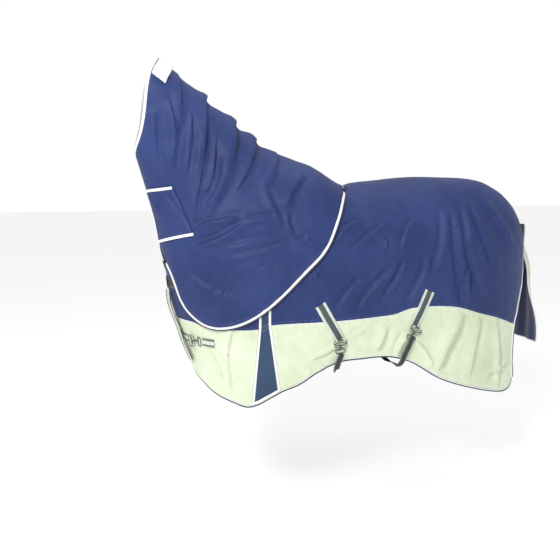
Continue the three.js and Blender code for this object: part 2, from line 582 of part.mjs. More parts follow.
/** Webbing that hangs free in front of the chest. */
function hangingWeb(points, width, thick) {
  const side = new THREE.Vector3(...TAIL_TWIST, 0).multiplyScalar(width / 2);
  const out = new THREE.Vector3(-1, 0, 0);
  const grid = (shift) => points.map((p) => [-1, 1].map((k) =>
    settle(vec(p), p[3]).addScaledVector(side, k).addScaledVector(out, shift)));
  return slab(grid(0), grid(thick));
}

rug.name = 'turnout_rug';
bodyPanels();
bodyEdges();
gussetPiping();
neckCover();
witherTab();
pollPad();
throatFlap();
tailFlap();
bellyFastenings();
chestFastenings();
export default rug;
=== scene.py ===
import math

import bpy
import numpy as np
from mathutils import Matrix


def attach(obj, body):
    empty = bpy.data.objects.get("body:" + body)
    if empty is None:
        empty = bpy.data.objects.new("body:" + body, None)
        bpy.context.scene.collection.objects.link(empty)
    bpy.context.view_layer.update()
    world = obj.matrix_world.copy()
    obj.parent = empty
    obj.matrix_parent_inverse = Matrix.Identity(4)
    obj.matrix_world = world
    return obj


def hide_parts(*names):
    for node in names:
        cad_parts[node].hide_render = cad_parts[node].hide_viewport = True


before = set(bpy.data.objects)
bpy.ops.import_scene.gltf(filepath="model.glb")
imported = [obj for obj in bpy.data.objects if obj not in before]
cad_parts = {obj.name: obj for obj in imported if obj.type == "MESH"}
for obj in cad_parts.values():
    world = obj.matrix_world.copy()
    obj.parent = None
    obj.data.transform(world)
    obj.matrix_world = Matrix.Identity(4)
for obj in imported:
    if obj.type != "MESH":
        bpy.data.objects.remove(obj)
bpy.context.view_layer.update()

# ---- Camera: it stands about as high as the back, in front of the near shoulder, and looks slightly ----
# down and towards the tail.
CAMERA_PLACE, LENS, SENSOR, LOOKS_DOWN, TURNED = (-.8367, -2.6515, -.06), 38.57, 36, 9.462, -17
camera = bpy.data.objects.new("camera", bpy.data.cameras.new("camera"))
camera.data.sensor_width = SENSOR
camera.data.lens = LENS
camera.location = CAMERA_PLACE
camera.rotation_euler = (math.radians(90 - LOOKS_DOWN), 0, math.radians(TURNED))
bpy.context.collection.objects.link(camera)
bpy.context.scene.camera = camera

# ---- Body rug, upper cloth: navy coated polyester, cut in two halves that meet along the spine and hang ----
# over the barrel from the neckline to the dock. Every other panel is cut to the same form of the horse,
# and all the cloth of one side lies on one grid, so that the layers fold together.
TOPLINE = [(-.56, -.02), (-.1, 0), (0, 0), (.1, -.02), (.17, -.06), (.25, -.098), (.34, -.08),
           (.44, -.069), (.64, -.053), (.86, -.055), (1.0, -.05), (1.28, -.05)]
WIDEST_HEIGHT = [(-.56, -.48), (0, -.44), (.5, -.43), (1.28, -.43)]
HALF_WIDTH = [(-.56, .262), (-.1, .272), (.2, .3), (.5, .318), (.75, .315), (1.0, .292), (1.28, .28)]
CHEST_START, CHEST_DEPTH, RUMP_START, RUMP_DEPTH = -.03, .49, .8, .44
BREAST_BACK, WAIST_IN = .105, .10
NECK_TOP, NECK_SLOPE, NECK_CREST, NECK_BLEND = (-.625, .24), (.634, -.775), (.775, .634), .11

# Neckline or spine, seam, and hem of one side, at stations from the breast to the tail.
BODY_LINES = np.array([
    [(-.522, -.002, -.44), (-.498, -.002, -.655), (-.44, -.002, -.9)],
    [(-.482, -.105, -.395), (-.476, -.122, -.66), (-.418, -.108, -.945)],
    [(-.405, -.175, -.325), (-.392, -.199, -.68), (-.373, -.158, -.978)],
    [(-.3, -.215, -.24), (-.292, -.25, -.688), (-.3, -.22, -1.01)],
    [(-.195, -.205, -.15), (-.203, -.276, -.684), (-.232, -.256, -1.022)],
    [(-.15, -.17, -.11), (-.152, -.285, -.668), (-.112, -.29, -.958)],
    [(-.085, -.085, -.04), (-.058, -.297, -.664), (-.028, -.302, -.925)],
    [(-.03, 0, .005), (.04, -.305, -.664), (.06, -.311, -.87)],
    [(.08, 0, -.015), (.15, -.315, -.662), (.157, -.317, -.836)],
    [(.19, 0, -.07), (.25, -.32, -.658), (.252, -.322, -.83)],
    [(.25, 0, -.098), (.33, -.323, -.653), (.336, -.325, -.828)],
    [(.33, 0, -.082), (.408, -.325, -.647), (.416, -.328, -.836)],
    [(.45, 0, -.07), (.49, -.326, -.624), (.506, -.332, -.868)],
    [(.59, 0, -.058), (.61, -.327, -.622), (.632, -.34, -.946)],
    [(.73, 0, -.054), (.73, -.324, -.636), (.745, -.341, -.992)],
    [(.87, 0, -.055), (.845, -.312, -.672), (.887, -.328, -1.036)],
    [(1.01, 0, -.06), (.955, -.288, -.704), (1, -.307, -1.062)],
    [(1.15, 0, -.11), (1.036, -.266, -.734), (1.062, -.28, -1.058)],
    [(1.283, 0, -.262), (1.096, -.246, -.757), (1.096, -.266, -1.022)]])
RIM_CONTROL = np.array([1.278, -.196, -.38])
LINING, WADDING, SHELL, EDGE = (0, .0012), (.0018, .0044), (.005, .0062), (-.0002, .0066)
COLUMNS_PER_STATION, UPPER_ROWS, LOWER_ROWS = 20, 96, 36


def smooth(low, high, x):
    """Eases from 0 at low to 1 at high: 3t^2 - 2t^3."""
    t = np.clip((x - low) / (high - low), 0, 1)
    return t * t * (3 - 2 * t)


def through(table, x):
    """Cubic curve through (place, value) pairs, level beyond both ends. Its slope at a pair is the mean of
    the slopes beside it, each weighted by the other's span."""
    places, values = np.array(table, float).T
    slopes = np.gradient(values, places)
    x = np.clip(x, places[0], places[-1])
    i = np.clip(np.searchsorted(places, x, side="right") - 1, 0, len(places) - 2)
    span = places[i + 1] - places[i]
    t = (x - places[i]) / span
    return ((2 * t**3 - 3 * t**2 + 1) * values[i] + (t**3 - 2 * t**2 + t) * span * slopes[i]
            + (3 * t**2 - 2 * t**3) * values[i + 1] + (t**3 - t**2) * span * slopes[i + 1])


def trunk(x, y, z):
    """Barrel, chest and rump: |y/half|^2.2 + rise^2.1 + chest^2.4 + rump^2.6 = 1 on the form."""
    widest = through(WIDEST_HEIGHT, x)
    rise = through(TOPLINE, x) - widest
    chest_x = x - BREAST_BACK * smooth(.52, .96, -z) * smooth(0, .4, -x)
    waist = WAIST_IN * smooth(.62, .88, -z) * np.exp(-((x - .24) / .33) ** 2)
    half = through(HALF_WIDTH, x) * (1 - waist)
    chest = np.maximum(0, (CHEST_START - chest_x) / CHEST_DEPTH)
    rump = np.maximum(0, (x - RUMP_START) / RUMP_DEPTH)
    return (np.abs(y) / half) ** 2.2 + (np.maximum(z - widest, 0) / rise) ** 2.1 + chest**2.4 + rump**2.6 - 1


def neck(x, y, z):
    """Neck: an oval across its own slope, which widens towards the shoulder."""
    dx, dz = x - NECK_TOP[0], z - NECK_TOP[1]
    along = dx * NECK_SLOPE[0] + dz * NECK_SLOPE[1]
    across = dx * NECK_CREST[0] + dz * NECK_CREST[1]
    depth, half = np.maximum(.132 + .33 * along, .06), np.maximum(.08 + .15 * along, .05)
    return np.sqrt(((across - (.055 - .12 * along)) / depth) ** 2 + (y / half) ** 2) - 1


def slope(shape, p, step):
    """Central differences of a shape at points p."""
    x, y, z = np.moveaxis(p, -1, 0)
    return np.stack([shape(x + step, y, z) - shape(x - step, y, z),
                     shape(x, y + step, z) - shape(x, y - step, z),
                     shape(x, y, z + step) - shape(x, y, z - step)], -1) / (2 * step)


def form(x, y, z):
    """Nearly the distance from the horse: trunk and neck, each divided by the length of its slope, joined
    by a smooth minimum."""
    p = np.stack([x, y, z], -1)
    a, b = [shape(x, y, z) / np.maximum(np.linalg.norm(slope(shape, p, .0005), axis=-1), 1e-3)
            for shape in (trunk, neck)]
    h = np.clip(.5 + .5 * (b - a) / NECK_BLEND, 0, 1)
    return b * (1 - h) + a * h - NECK_BLEND * h * (1 - h)


def settle(p, height=0.0):
    """Moves points straight off or onto the form, by eight Newton steps, until they lie at a height
    above it."""
    q = np.array(p, float)
    for _ in range(8):
        g = slope(form, q, .001)
        q -= ((form(*np.moveaxis(q, -1, 0)) - height) / np.maximum((g * g).sum(-1), 1e-6))[..., None] * g
    return q


def unit(v):
    return v / np.maximum(np.linalg.norm(v, axis=-1, keepdims=True), 1e-12)


def line_at(points, t):
    """Catmull-Rom curve through points, t from 0 to 1 over their knots."""
    points = np.asarray(points, float)
    at = np.asarray(t, float) * (len(points) - 1)
    i = np.minimum(at.astype(int), len(points) - 2)
    a, b, c, d = [points[np.clip(i + k, 0, len(points) - 1)] for k in (-1, 0, 1, 2)]
    s = (at - i).reshape(at.shape + (1,) * (points.ndim - 1))
    return .5 * (2 * b + (c - a) * s + (2 * a - 5 * b + 4 * c - d) * s**2 + (3 * b - a - 3 * c + d) * s**3)


def finer(grid, columns, rows):
    """The same surface on a finer grid, by a cubic curve each way."""
    dense = line_at(grid, np.linspace(0, 1, columns))
    return np.moveaxis(line_at(np.moveaxis(dense, 1, 0), np.linspace(0, 1, rows)), 0, 1)


def bow(a, control, b, v):
    """Quadratic curve from a to b, drawn out towards a control point."""
    return (1 - v) ** 2 * a + 2 * v * (1 - v) * control + v**2 * b


def body_base(u, v):
    """Points of the body rug on the form: u from breast to tail, v 0 at the spine, 1 at the seam, 2 at the
    hem. Above the seam a column is a bow over the flank, below it a straight drop, and both then settle."""
    top, seam, hem = np.moveaxis(line_at(BODY_LINES, u), 1, 0)[:, :, None, :]
    plain = np.concatenate([(top[..., :1] + seam[..., :1]) / 2, seam[..., 1:2] * 1.05, top[..., 2:]], -1)
    control = plain + (RIM_CONTROL - plain) * smooth(.88, 1, u)[:, None, None]
    drop = (hem - seam) * np.clip(v - 1, 0, 1)[None, :, None]
    return settle(bow(top, control, seam, np.clip(v, 0, 1)[None, :, None]) + drop)


def normals_of(grid):
    """Unit normals of a grid, from the cross product of its two directions, turned away from the horse."""
    n = unit(np.cross(np.gradient(grid, axis=0), np.gradient(grid, axis=1)))
    middle = tuple(k // 2 for k in grid.shape[:2])
    return n * np.sign(n[middle] @ slope(form, grid[middle], .001))


body_u, body_v = np.linspace(0, 1, 73), np.concatenate([np.linspace(0, 1, 25), np.linspace(1, 2, 10)[1:]])
body_grid = finer(body_base(body_u, body_v), (len(BODY_LINES) - 1) * COLUMNS_PER_STATION + 1,
                  UPPER_ROWS + LOWER_ROWS + 1)
body_out = normals_of(body_grid)

BODY_FOLD_DEPTH, BODY_EASE, BODY_RIPPLE, OFF_SIDE_SHIFT = 1.8, .0016, .0013, .045

# Creases of the body cloth: start, middle, end, height and width of each. They drop back from the withers,
# fan out from the croup, and gather towards the belly fastenings.
BODY_FOLDS = [
    ((.12, -.29, -.325), (.19, -.275, -.255), (.27, -.26, -.23), .0045, .011),
    ((.185, -.3, -.365), (.255, -.295, -.315), (.38, -.28, -.24), .0045, .012),
    ((.12, -.31, -.63), (.195, -.31, -.53), (.275, -.315, -.46), .0055, .018),
    ((.21, -.315, -.635), (.31, -.315, -.515), (.42, -.32, -.415), .006, .018),
    ((.325, -.32, -.605), (.41, -.32, -.49), (.45, -.325, -.395), .006, .015),
    ((.42, -.32, -.375), (.46, -.3, -.28), (.52, -.275, -.22), .004, .014),
    ((.57, -.325, -.525), (.635, -.315, -.32), (.66, -.245, -.165), .006, .022),
    ((.76, -.32, -.635), (.72, -.325, -.415), (.695, -.245, -.165), .008, .024),
    ((.855, -.315, -.635), (.77, -.32, -.385), (.77, -.225, -.14), .008, .022),
    ((.96, -.295, -.505), (.855, -.295, -.29), (.81, -.23, -.15), .007, .022),
    ((1.06, -.26, -.405), (.945, -.26, -.235), (.87, -.21, -.135), .006, .022),
    ((.75, -.32, -.66), (.76, -.32, -.505), (.765, -.32, -.445), .007, .016),
    ((.08, -.3, -.42), (.045, -.295, -.46), (.015, -.295, -.48), .004, .01),
    ((.445, -.325, -.625), (.535, -.325, -.48), (.55, -.325, -.375), .006, .018),
    ((.35, -.3, -.305), (.37, -.31, -.33), (.35, -.315, -.37), .0035, .01),
    ((.155, -.265, -.225), (.165, -.255, -.205), (.17, -.24, -.185), .003, .008),
    ((.77, -.32, -.66), (.69, -.325, -.795), (.62, -.335, -.94), .014, .036),
    ((.515, -.325, -.765), (.585, -.325, -.85), (.6, -.33, -.905), .006, .016),
    ((.955, -.295, -.7), (.985, -.285, -.87), (.985, -.305, -1.07), .008, .022),
    ((1.1, -.25, -.93), (.98, -.3, -.965), (.9, -.315, -.985), .005, .016),
    ((.375, -.32, -.69), (.355, -.32, -.755), (.325, -.32, -.815), .007, .026),
    ((.19, -.315, -.73), (.235, -.315, -.71), (.27, -.315, -.705), .004, .012),
    ((.16, -.31, -.765), (.085, -.305, -.805), (.015, -.3, -.83), .004, .014),
    ((.41, -.32, -.84), (.435, -.32, -.775), (.465, -.32, -.74), .006, .016),
    ((-.01, -.3, -.88), (.03, -.3, -.865), (.09, -.305, -.85), .004, .012),
    ((-.3, -.25, -.66), (-.32, -.24, -.8), (-.3, -.22, -1.0), .006, .03),
    ((-.42, -.17, -.76), (-.36, -.19, -.83), (-.33, -.2, -.93), .006, .02),
    ((.86, -.31, -.67), (.84, -.32, -.8), (.8, -.335, -1.0), .006, .03)]


def crease(p, start, middle, end, height, width, from_edge=False):
    """A ridge with a valley beside it along a bowed line: the difference of two bell curves of the distance
    to either side of the line, which fades towards its ends."""
    bowed = line_at([start, middle, end], np.linspace(0, 1, 9))
    lift = np.zeros(p.shape[:-1])
    near = np.all((p > bowed.min(0) - 3 * width) & (p < bowed.max(0) + 3 * width), axis=-1)
    q = p[near]
    gap, side, place = np.full(len(q), 1.0), np.zeros(len(q)), np.zeros(len(q))
    for k in range(8):
        run = bowed[k + 1] - bowed[k]
        t = np.clip((q - bowed[k]) @ run / (run @ run), 0, 1)
        off = q - bowed[k] - t[:, None] * run
        distance = np.linalg.norm(off, axis=1)
        closer = distance < gap
        gap, place = np.where(closer, distance, gap), np.where(closer, (k + t) / 8, place)
        side = np.where(closer, np.sign(off[:, 0] * run[2] - off[:, 2] * run[0]), side)
    d = gap * side / width
    fade = smooth(0, .3, 1 - place) * (1 if from_edge else smooth(0, .3, place))
    lift[near] = height * fade * (np.exp(-(d - .55) ** 2) - .75 * np.exp(-((d + .75) / .75) ** 2))
    return lift


def ripple(p, size):
    """Slight unevenness of hanging cloth: a few crossed waves of different lengths."""
    x, y, z = np.moveaxis(p, -1, 0)
    return size * (np.sin(23 * x + 9 * z + 1) * np.sin(17 * z - 7 * x + 11 * y)
                   + .5 * np.sin(61 * x - 37 * z) * np.sin(43 * z + 29 * x + 2)
                   + .3 * np.sin(97 * x + 53 * z + 31 * y))


def near_place(p):
    """The near side place whose creases a point takes. On the off side they lie further forward, so that the
    two sides differ, but not at the spine, where the sides meet."""
    q = p.copy()
    q[..., 0] += np.where(p[..., 1] > 0, OFF_SIDE_SHIFT * smooth(.03, .15, p[..., 1]), 0)
    q[..., 1] = -np.abs(q[..., 1])
    return q


def body_folds(p):
    """How far the hanging body cloth stands off its form at each point."""
    q = near_place(p)
    lift = BODY_EASE + ripple(q, BODY_RIPPLE) * smooth(-.02, .06, -q[..., 1])
    for fold in BODY_FOLDS:
        lift = lift + BODY_FOLD_DEPTH * crease(q, *fold)
    return lift


SEAM_HEIGHT = [(-.498, -.655), (-.292, -.688), (-.152, -.668), (.15, -.662), (.33, -.653), (.49, -.624),
               (.61, -.622), (.845, -.672), (1.096, -.757)]
PUCKER_DEPTH, PUCKER_REACH = .0011, .022


def seam_puckers(p):
    """Small gathers of the cloth along the seam, which the thread draws in."""
    x, z = p[..., 0], p[..., 2]
    gap = np.abs(z - through(SEAM_HEIGHT, x)) / PUCKER_REACH
    return PUCKER_DEPTH * np.sin(150 * x + 3 * np.sin(31 * x)) * np.exp(-gap**2)


def mirrored(grid):
    return grid * [1, -1, 1]


# One entry for each side: name, the grid on the form, its normals, and how far the cloth stands off there.
body_sides = [(side, grid, out, body_folds(grid) + seam_puckers(grid))
              for side, grid, out in (("near", body_grid, body_out),
                                      ("off", mirrored(body_grid), mirrored(body_out)))]


class Value:
    """A socket of a material's nodes. Sums on it add Math nodes, and make() adds any other node."""

    def __init__(self, tree, socket=None):
        self.tree, self.socket = tree, socket

    def make(self, kind, inputs=None, output=0, stops=(), **settings):
        node = self.tree.nodes.new(kind)
        for name, setting in settings.items():
            setattr(node, name, setting)
        for place, colour in stops:
            node.color_ramp.elements.new(place).color = colour
        for key, value in (inputs or {}).items():
            if isinstance(value, Value):
                self.tree.links.new(value.socket, node.inputs[key])
            else:
                node.inputs[key].default_value = value
        return Value(self.tree, node.outputs[output])

    def maths(self, operation, *others):
        return self.make("ShaderNodeMath", dict(enumerate((self, *others))), operation=operation)

    def __add__(self, other):
        return self.maths("ADD", other)

    def __sub__(self, other):
        return self.maths("SUBTRACT", other)

    def __mul__(self, other):
        return self.maths("MULTIPLY", other)

    def __truediv__(self, other):
        return self.maths("DIVIDE", other)

    __radd__, __rmul__ = __add__, __mul__

    def __rsub__(self, other):
        return self * -1 + other

    def above(self, level):
        return self.maths("GREATER_THAN", level)

    def below(self, level):
        return self.maths("LESS_THAN", level)

    def wave(self, length):
        return (self * (2 * math.pi / length)).maths("SINE")

    def repeat(self, length):
        return (self / length).maths("FRACT")

    def size(self):
        return self.maths("ABSOLUTE")

    def mix(self, first, second):
        """A colour from first to second, by this value."""
        return self.make("ShaderNodeMix", {0: self, 6: first, 7: second}, 2, data_type="RGBA",
                         clamp_factor=True)

    def noise(self, scale, detail=3.0):
        where = self.make("ShaderNodeTexCoord", output=3)
        return self.make("ShaderNodeTexNoise", {"Vector": where, "Scale": scale, "Detail": detail})

    def across(self, layer, axis):
        """One part of a UV layer, in metres."""
        both = self.make("ShaderNodeUVMap", uv_map=layer)
        return self.make("ShaderNodeSeparateXYZ", {0: both}, axis)


def new_material(name, roughness, **constants):
    """A material with its constants on the shader's own sockets, and a value to build its nodes from."""
    material = bpy.data.materials.new(name)
    material.use_nodes = True
    shader = material.node_tree.nodes["Principled BSDF"]
    shader.inputs["Roughness"].default_value = roughness
    for key, value in constants.items():
        shader.inputs[key.replace("_", " ").title().replace("Ior", "IOR")].default_value = value

    def paint(**links):
        for key, value in links.items():
            material.node_tree.links.new(value.socket, shader.inputs[key.replace("_", " ").title()])

    return material, Value(material.node_tree), paint


STITCH_ROWS, STITCH_HALF, STITCH_PITCH = (.004, .0105), .0006, .0042


def woven(name, light, dark, thread, pitch=.0016, roughness=.5, sheen=.02, bump=.3, sewn=True):
    """Coated woven cloth: warp and weft as a fine chequer of raised threads, a ripstop line every few
    threads, cloudy shading, faint creases from handling with painted shade, darker in their hollows and
    lighter on their ridges, and two rows of machine stitches beside the sewn edges."""
    material, start, paint = new_material(name, roughness, sheen_weight=sheen, specular_ior_level=.2)
    along, down = start.across("cloth", 0), start.across("cloth", 1)
    weave = along.wave(pitch) * down.wave(pitch)
    rip = along.repeat(pitch * 5).below(.16).maths("MAXIMUM", down.repeat(pitch * 5).below(.16))
    cloud, handling_creases_and_shade = start.noise(4.0, 4.0), start.noise(28.0, 5.0)
    # Painted shade: the colour is darker where the handling creases sink in the bump and lighter where they
    # rise.
    colour = (cloud * 1.5 + handling_creases_and_shade * .5 + weave * .05 + rip * .06 - .5).mix(dark, light)
    height = weave * .3 + rip * .4 + start.noise(300.0, 2.0) * .3 + handling_creases_and_shade * 4.0
    if sewn:
        gap, run = start.across("seam", 0), start.across("seam", 1)
        first, second = [(gap - row).size().below(STITCH_HALF) for row in STITCH_ROWS]
        rows = first + second
        stitch = rows * run.repeat(STITCH_PITCH).below(.62)
        colour = stitch.mix(colour, thread)
        height = height + stitch * 1.5 - rows * .8
    paint(base_color=colour, roughness=cloud * .12 + (roughness - .06),
          normal=start.make("ShaderNodeBump", {"Height": height, "Strength": bump, "Distance": .0006}))
    return material


def right_side_out(points, faces):
    """Faces of a closed shape, turned round where its volume comes out negative."""
    volume = sum((points[f[:, 0]] * np.cross(points[f[:, k]], points[f[:, k + 1]])).sum()
                 for f in faces for k in range(1, f.shape[1] - 1))
    return [f if volume > 0 else f[:, ::-1] for f in faces]


def make_piece(name, parts, material, body, nodes=()):
    """One smooth-shaded piece from closed parts, each its points, faces, and two UV layers in metres: its
    place on the cloth, and its distance from and along the nearest edge."""
    counts = np.cumsum([0] + [len(part[0]) for part in parts])
    points = np.concatenate([part[0] for part in parts])
    faces = [f for part, first in zip(parts, counts) for group in right_side_out(part[0], part[1])
             for f in (group + first).tolist()]
    mesh = bpy.data.meshes.new(name)
    mesh.from_pydata(points.tolist(), [], faces)
    mesh.polygons.foreach_set("use_smooth", np.ones(len(mesh.polygons), bool))
    corners = np.zeros(len(mesh.loops), np.int32)
    mesh.loops.foreach_get("vertex_index", corners)
    for k, layer in enumerate(("cloth", "seam"), 2):
        values = np.concatenate([part[k] for part in parts])
        mesh.uv_layers.new(name=layer).data.foreach_set("uv", values[corners].ravel())
    mesh.materials.append(material)
    piece = bpy.data.objects.new(name, mesh)
    bpy.context.collection.objects.link(piece)
    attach(piece, body)
    if nodes:
        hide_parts(*nodes)
    return piece


def steps(grid, axis):
    """Distance from the first line of a grid to each, by the mean gap between them."""
    gaps = np.linalg.norm(np.diff(grid, axis=axis), axis=-1)
    return np.concatenate([[0], np.cumsum(gaps.mean(axis=1 - axis))])


def sheet_part(inner, outer):
    """Cloth of a real thickness: an outer and an inner grid of points, joined round their rim."""
    m, n = outer.shape[:2]
    ids = np.arange(m * n).reshape(m, n)
    quads = np.stack([ids[:-1, :-1], ids[1:, :-1], ids[1:, 1:], ids[:-1, 1:]], -1).reshape(-1, 4)
    rim = np.concatenate([ids[:-1, 0], ids[-1, :-1], ids[:0:-1, -1], ids[0, :0:-1]])
    wall = np.stack([np.roll(rim, -1), rim, rim + m * n, np.roll(rim, -1) + m * n], -1)
    faces = np.concatenate([quads, quads[:, ::-1] + m * n, wall])
    along, down = steps(outer, 0), steps(outer, 1)
    uv = np.stack(np.meshgrid(along, down, indexing="ij"), -1)
    to_ends, to_sides = np.minimum(along, along[-1] - along)[:, None], np.minimum(down, down[-1] - down)[None]
    seam = np.stack([np.minimum(to_ends, to_sides), np.where(to_ends < to_sides, uv[..., 1], uv[..., 0])], -1)
    both = [np.stack([layer, layer]).reshape(-1, 2) for layer in (uv, seam)]
    return np.stack([outer, inner]).reshape(-1, 3), [faces], *both


def flat_area(grid):
    """Area of a grid of cloth as it is cut, before it folds."""
    a, b = grid[1:, :-1] - grid[:-1, :-1], grid[:-1, 1:] - grid[:-1, :-1]
    return float(np.linalg.norm(np.cross(a, b), axis=-1).sum())


def declare_sheet(piece, grid, held="hung", **facts):
    """Works out a panel's cut length, its mean depth and its area, and keeps none of them."""
    length, depth, area = float(steps(grid, 0)[-1]), float(steps(grid, 1)[-1]), flat_area(grid)


def body_panels(name, window, heights, material, settled=False):
    """One panel on each side: a window of the body's grid, raised by its layer and its folds. An inner
    layer takes the least fold of the places round each of its points, so that it never shows through the
    cloth over it."""
    for side, grid, out, lift in body_sides:
        if settled:
            padded = np.pad(lift, 2, mode="edge")
            m, n = lift.shape
            lift = np.min([padded[i:i + m, j:j + n] for i in range(5) for j in range(5)], 0)
        grid, out, lift = grid[window], out[window], lift[window][..., None]
        part = sheet_part(*[grid + out * (lift + height) for height in heights])
        piece = make_piece(f"{name}_{side}_cloth", [part], material, "body_rug", [f"{name}_{side}"])
        declare_sheet(piece, grid)


NAVY_LIGHT, NAVY_DARK, NAVY_THREAD = (.034, .058, .190, 1), (.014, .026, .104, 1), (.09, .12, .30, 1)
navy = woven("navy_cloth", NAVY_LIGHT, NAVY_DARK, NAVY_THREAD)
body_panels("shell", np.s_[:, :UPPER_ROWS + 1], SHELL, navy)

# ---- Body rug, lower cloth: pale green bands below the seam, one on the chest and a longer one from the ----
# shoulder to the tail, with a dark blue gusset let in between them so that the shoulder can move.
pale = woven("pale_cloth", (.76, .82, .645, 1), (.54, .62, .425, 1), (.86, .9, .78, 1), roughness=.62)
gusset_blue = woven("gusset_cloth", (.045, .080, .150, 1), (.024, .048, .100, 1), (.3, .36, .45, 1))
gusset_from, gusset_to = 4 * COLUMNS_PER_STATION, 5 * COLUMNS_PER_STATION
body_panels("chest_panel", np.s_[:gusset_from + 1, UPPER_ROWS:], SHELL, pale)
body_panels("gusset", np.s_[gusset_from:gusset_to + 1, UPPER_ROWS:], SHELL, gusset_blue)
body_panels("skirt", np.s_[gusset_to:, UPPER_ROWS:], SHELL, pale)

# ---- Wadding and lining: a thin fibre fill that lies against the outer cloth, and a smooth dark lining ----
# that slides on the coat. Both are cut in one piece a side, from the neckline to the hem.
wadding_white, fill, paint = new_material("fibre_wadding", .95)
tuft_bump_and_shade = fill.noise(90.0, 5.0)
# Painted shade: the wadding is darker where its tufts sink in the bump and lighter where they rise.
paint(base_color=tuft_bump_and_shade.mix((.8, .8, .78, 1), (.93, .93, .91, 1)),
      normal=fill.make("ShaderNodeBump", {"Height": tuft_bump_and_shade, "Strength": .5, "Distance": .002}))
lining_dark = woven("lining_cloth", (.030, .040, .105, 1), (.016, .023, .068, 1), (.1, .12, .2, 1),
                    pitch=.001, roughness=.5, sheen=.3, bump=.15)
every_other = np.s_[::2, ::2]
body_panels("wadding", every_other, WADDING, wadding_white, settled=True)
body_panels("lining", every_other, LINING, lining_dark, settled=True)

# ---- Edges of the body rug: white piping sewn along the hem and down the back, with a dark binding ----
# turned over the raw edge beyond it. Each is a tape folded round a cord, so it is an oval section carried
# along the edge.
WHITE_PIPING = {"hem": (0, .0042), "rim": (0, .0082)}
DARK_BINDING = {"hem": (.0050, .0104), "rim": (.0090, .0164)}
EDGE_HEIGHTS = {"hem": EDGE, "rim": (EDGE[0], .0098)}


def tape_cloth(name, light, dark, rib=.0011, roughness=.6, bump=.35):
    """Narrow woven tape: fine ribs across its length, and faint marks of wear."""
    material, start, paint = new_material(name, roughness, sheen_weight=.1)
    ribs = start.across("cloth", 0).wave(rib)
    wear = start.noise(45.0, 5.0)
    height = ribs * .5 + start.noise(400.0) * .5
    paint(base_color=(wear * 1.3 - .15 + ribs * .08).mix(dark, light),
          normal=start.make("ShaderNodeBump", {"Height": height, "Strength": bump, "Distance": .0005}))
    return material


def rounded(width, height, corner=.6, count=16):
    """An oval section with flattened sides: half the width times |cos|^corner, and half the height times
    |sin|^corner."""
    a = np.linspace(0, 2 * math.pi, count, endpoint=False)
    return np.stack([width / 2 * np.sign(np.cos(a)) * np.abs(np.cos(a)) ** corner,
                     height / 2 * np.sign(np.sin(a)) * np.abs(np.sin(a)) ** corner], -1)


def tangents(path):
    return unit(np.gradient(path, axis=0))


def swept_part(path, side, out, section, loop=False):
    """A section carried along a path: each ring is a point of the path, plus the section's two sizes along
    side and out. Its ends are closed, or joined to each other in a loop."""
    n, k = len(path), section.shape[-2]
    rings = path[:, None] + side[:, None] * section[..., :1] + out[:, None] * section[..., 1:]
    ids = np.arange(n * k).reshape(n, k)
    ids = np.concatenate([ids, ids[:1]]) if loop else ids
    quads = np.stack([ids[:-1], ids[1:], np.roll(ids[1:], -1, 1), np.roll(ids[:-1], -1, 1)], -1)
    quads = quads.reshape(-1, 4)
    along = np.concatenate([[0], np.cumsum(np.linalg.norm(np.diff(path, axis=0), axis=1))])
    uv = np.stack([np.broadcast_to(along[:, None], (n, k)), np.broadcast_to(section[..., 0], (n, k))], -1)
    faces = [quads] if loop else [quads, ids[:1], ids[-1:, ::-1]]
    return rings.reshape(-1, 3), faces, uv.reshape(-1, 2), uv.reshape(-1, 2)


def eased(path, rounds):
    """A path with its corners rounded: each point moves to the mean of its neighbours, again and again."""
    path = path.copy()
    for _ in range(rounds):
        path[1:-1] = (path[:-2] + path[2:]) / 2 * .5 + path[1:-1] * .5
    return path


def edging(name, path, inner, out, reach, heights, material, body, node=None):
    """Tape along an edge of cloth: how far past the edge it reaches, and its heights off the cloth's form."""
    side = unit(np.cross(tangents(path), out))
    side = side * np.sign(((path - inner) * side).sum())
    section = rounded(reach[1] - reach[0], heights[1] - heights[0]) + [sum(reach) / 2, sum(heights) / 2]
    make_piece(name, [swept_part(path, side, out, section)], material, body, [node] if node else ())


piping_white = tape_cloth("white_piping", (.90, .90, .88, 1), (.74, .75, .74, 1))
binding_dark = tape_cloth("dark_binding", (.030, .040, .075, 1), (.014, .019, .040, 1))
for side, grid, out, lift in body_sides:
    stood = grid + out * lift[..., None]
    for edge, line, within in (("hem", np.s_[:, -1], np.s_[:, -2]), ("rim", np.s_[-1, :], np.s_[-2, :])):
        for tape, reach, material in (("piping", WHITE_PIPING[edge], piping_white),
                                      ("binding", DARK_BINDING[edge], binding_dark)):
            slot = "white_piping" if tape == "piping" else "dark_binding"
            edging(f"{edge}_{tape}_{side}_tape", stood[line], stood[within], out[line], reach,
                   EDGE_HEIGHTS[edge], material, "body_rug", f"{edge}_{tape}_{side}")

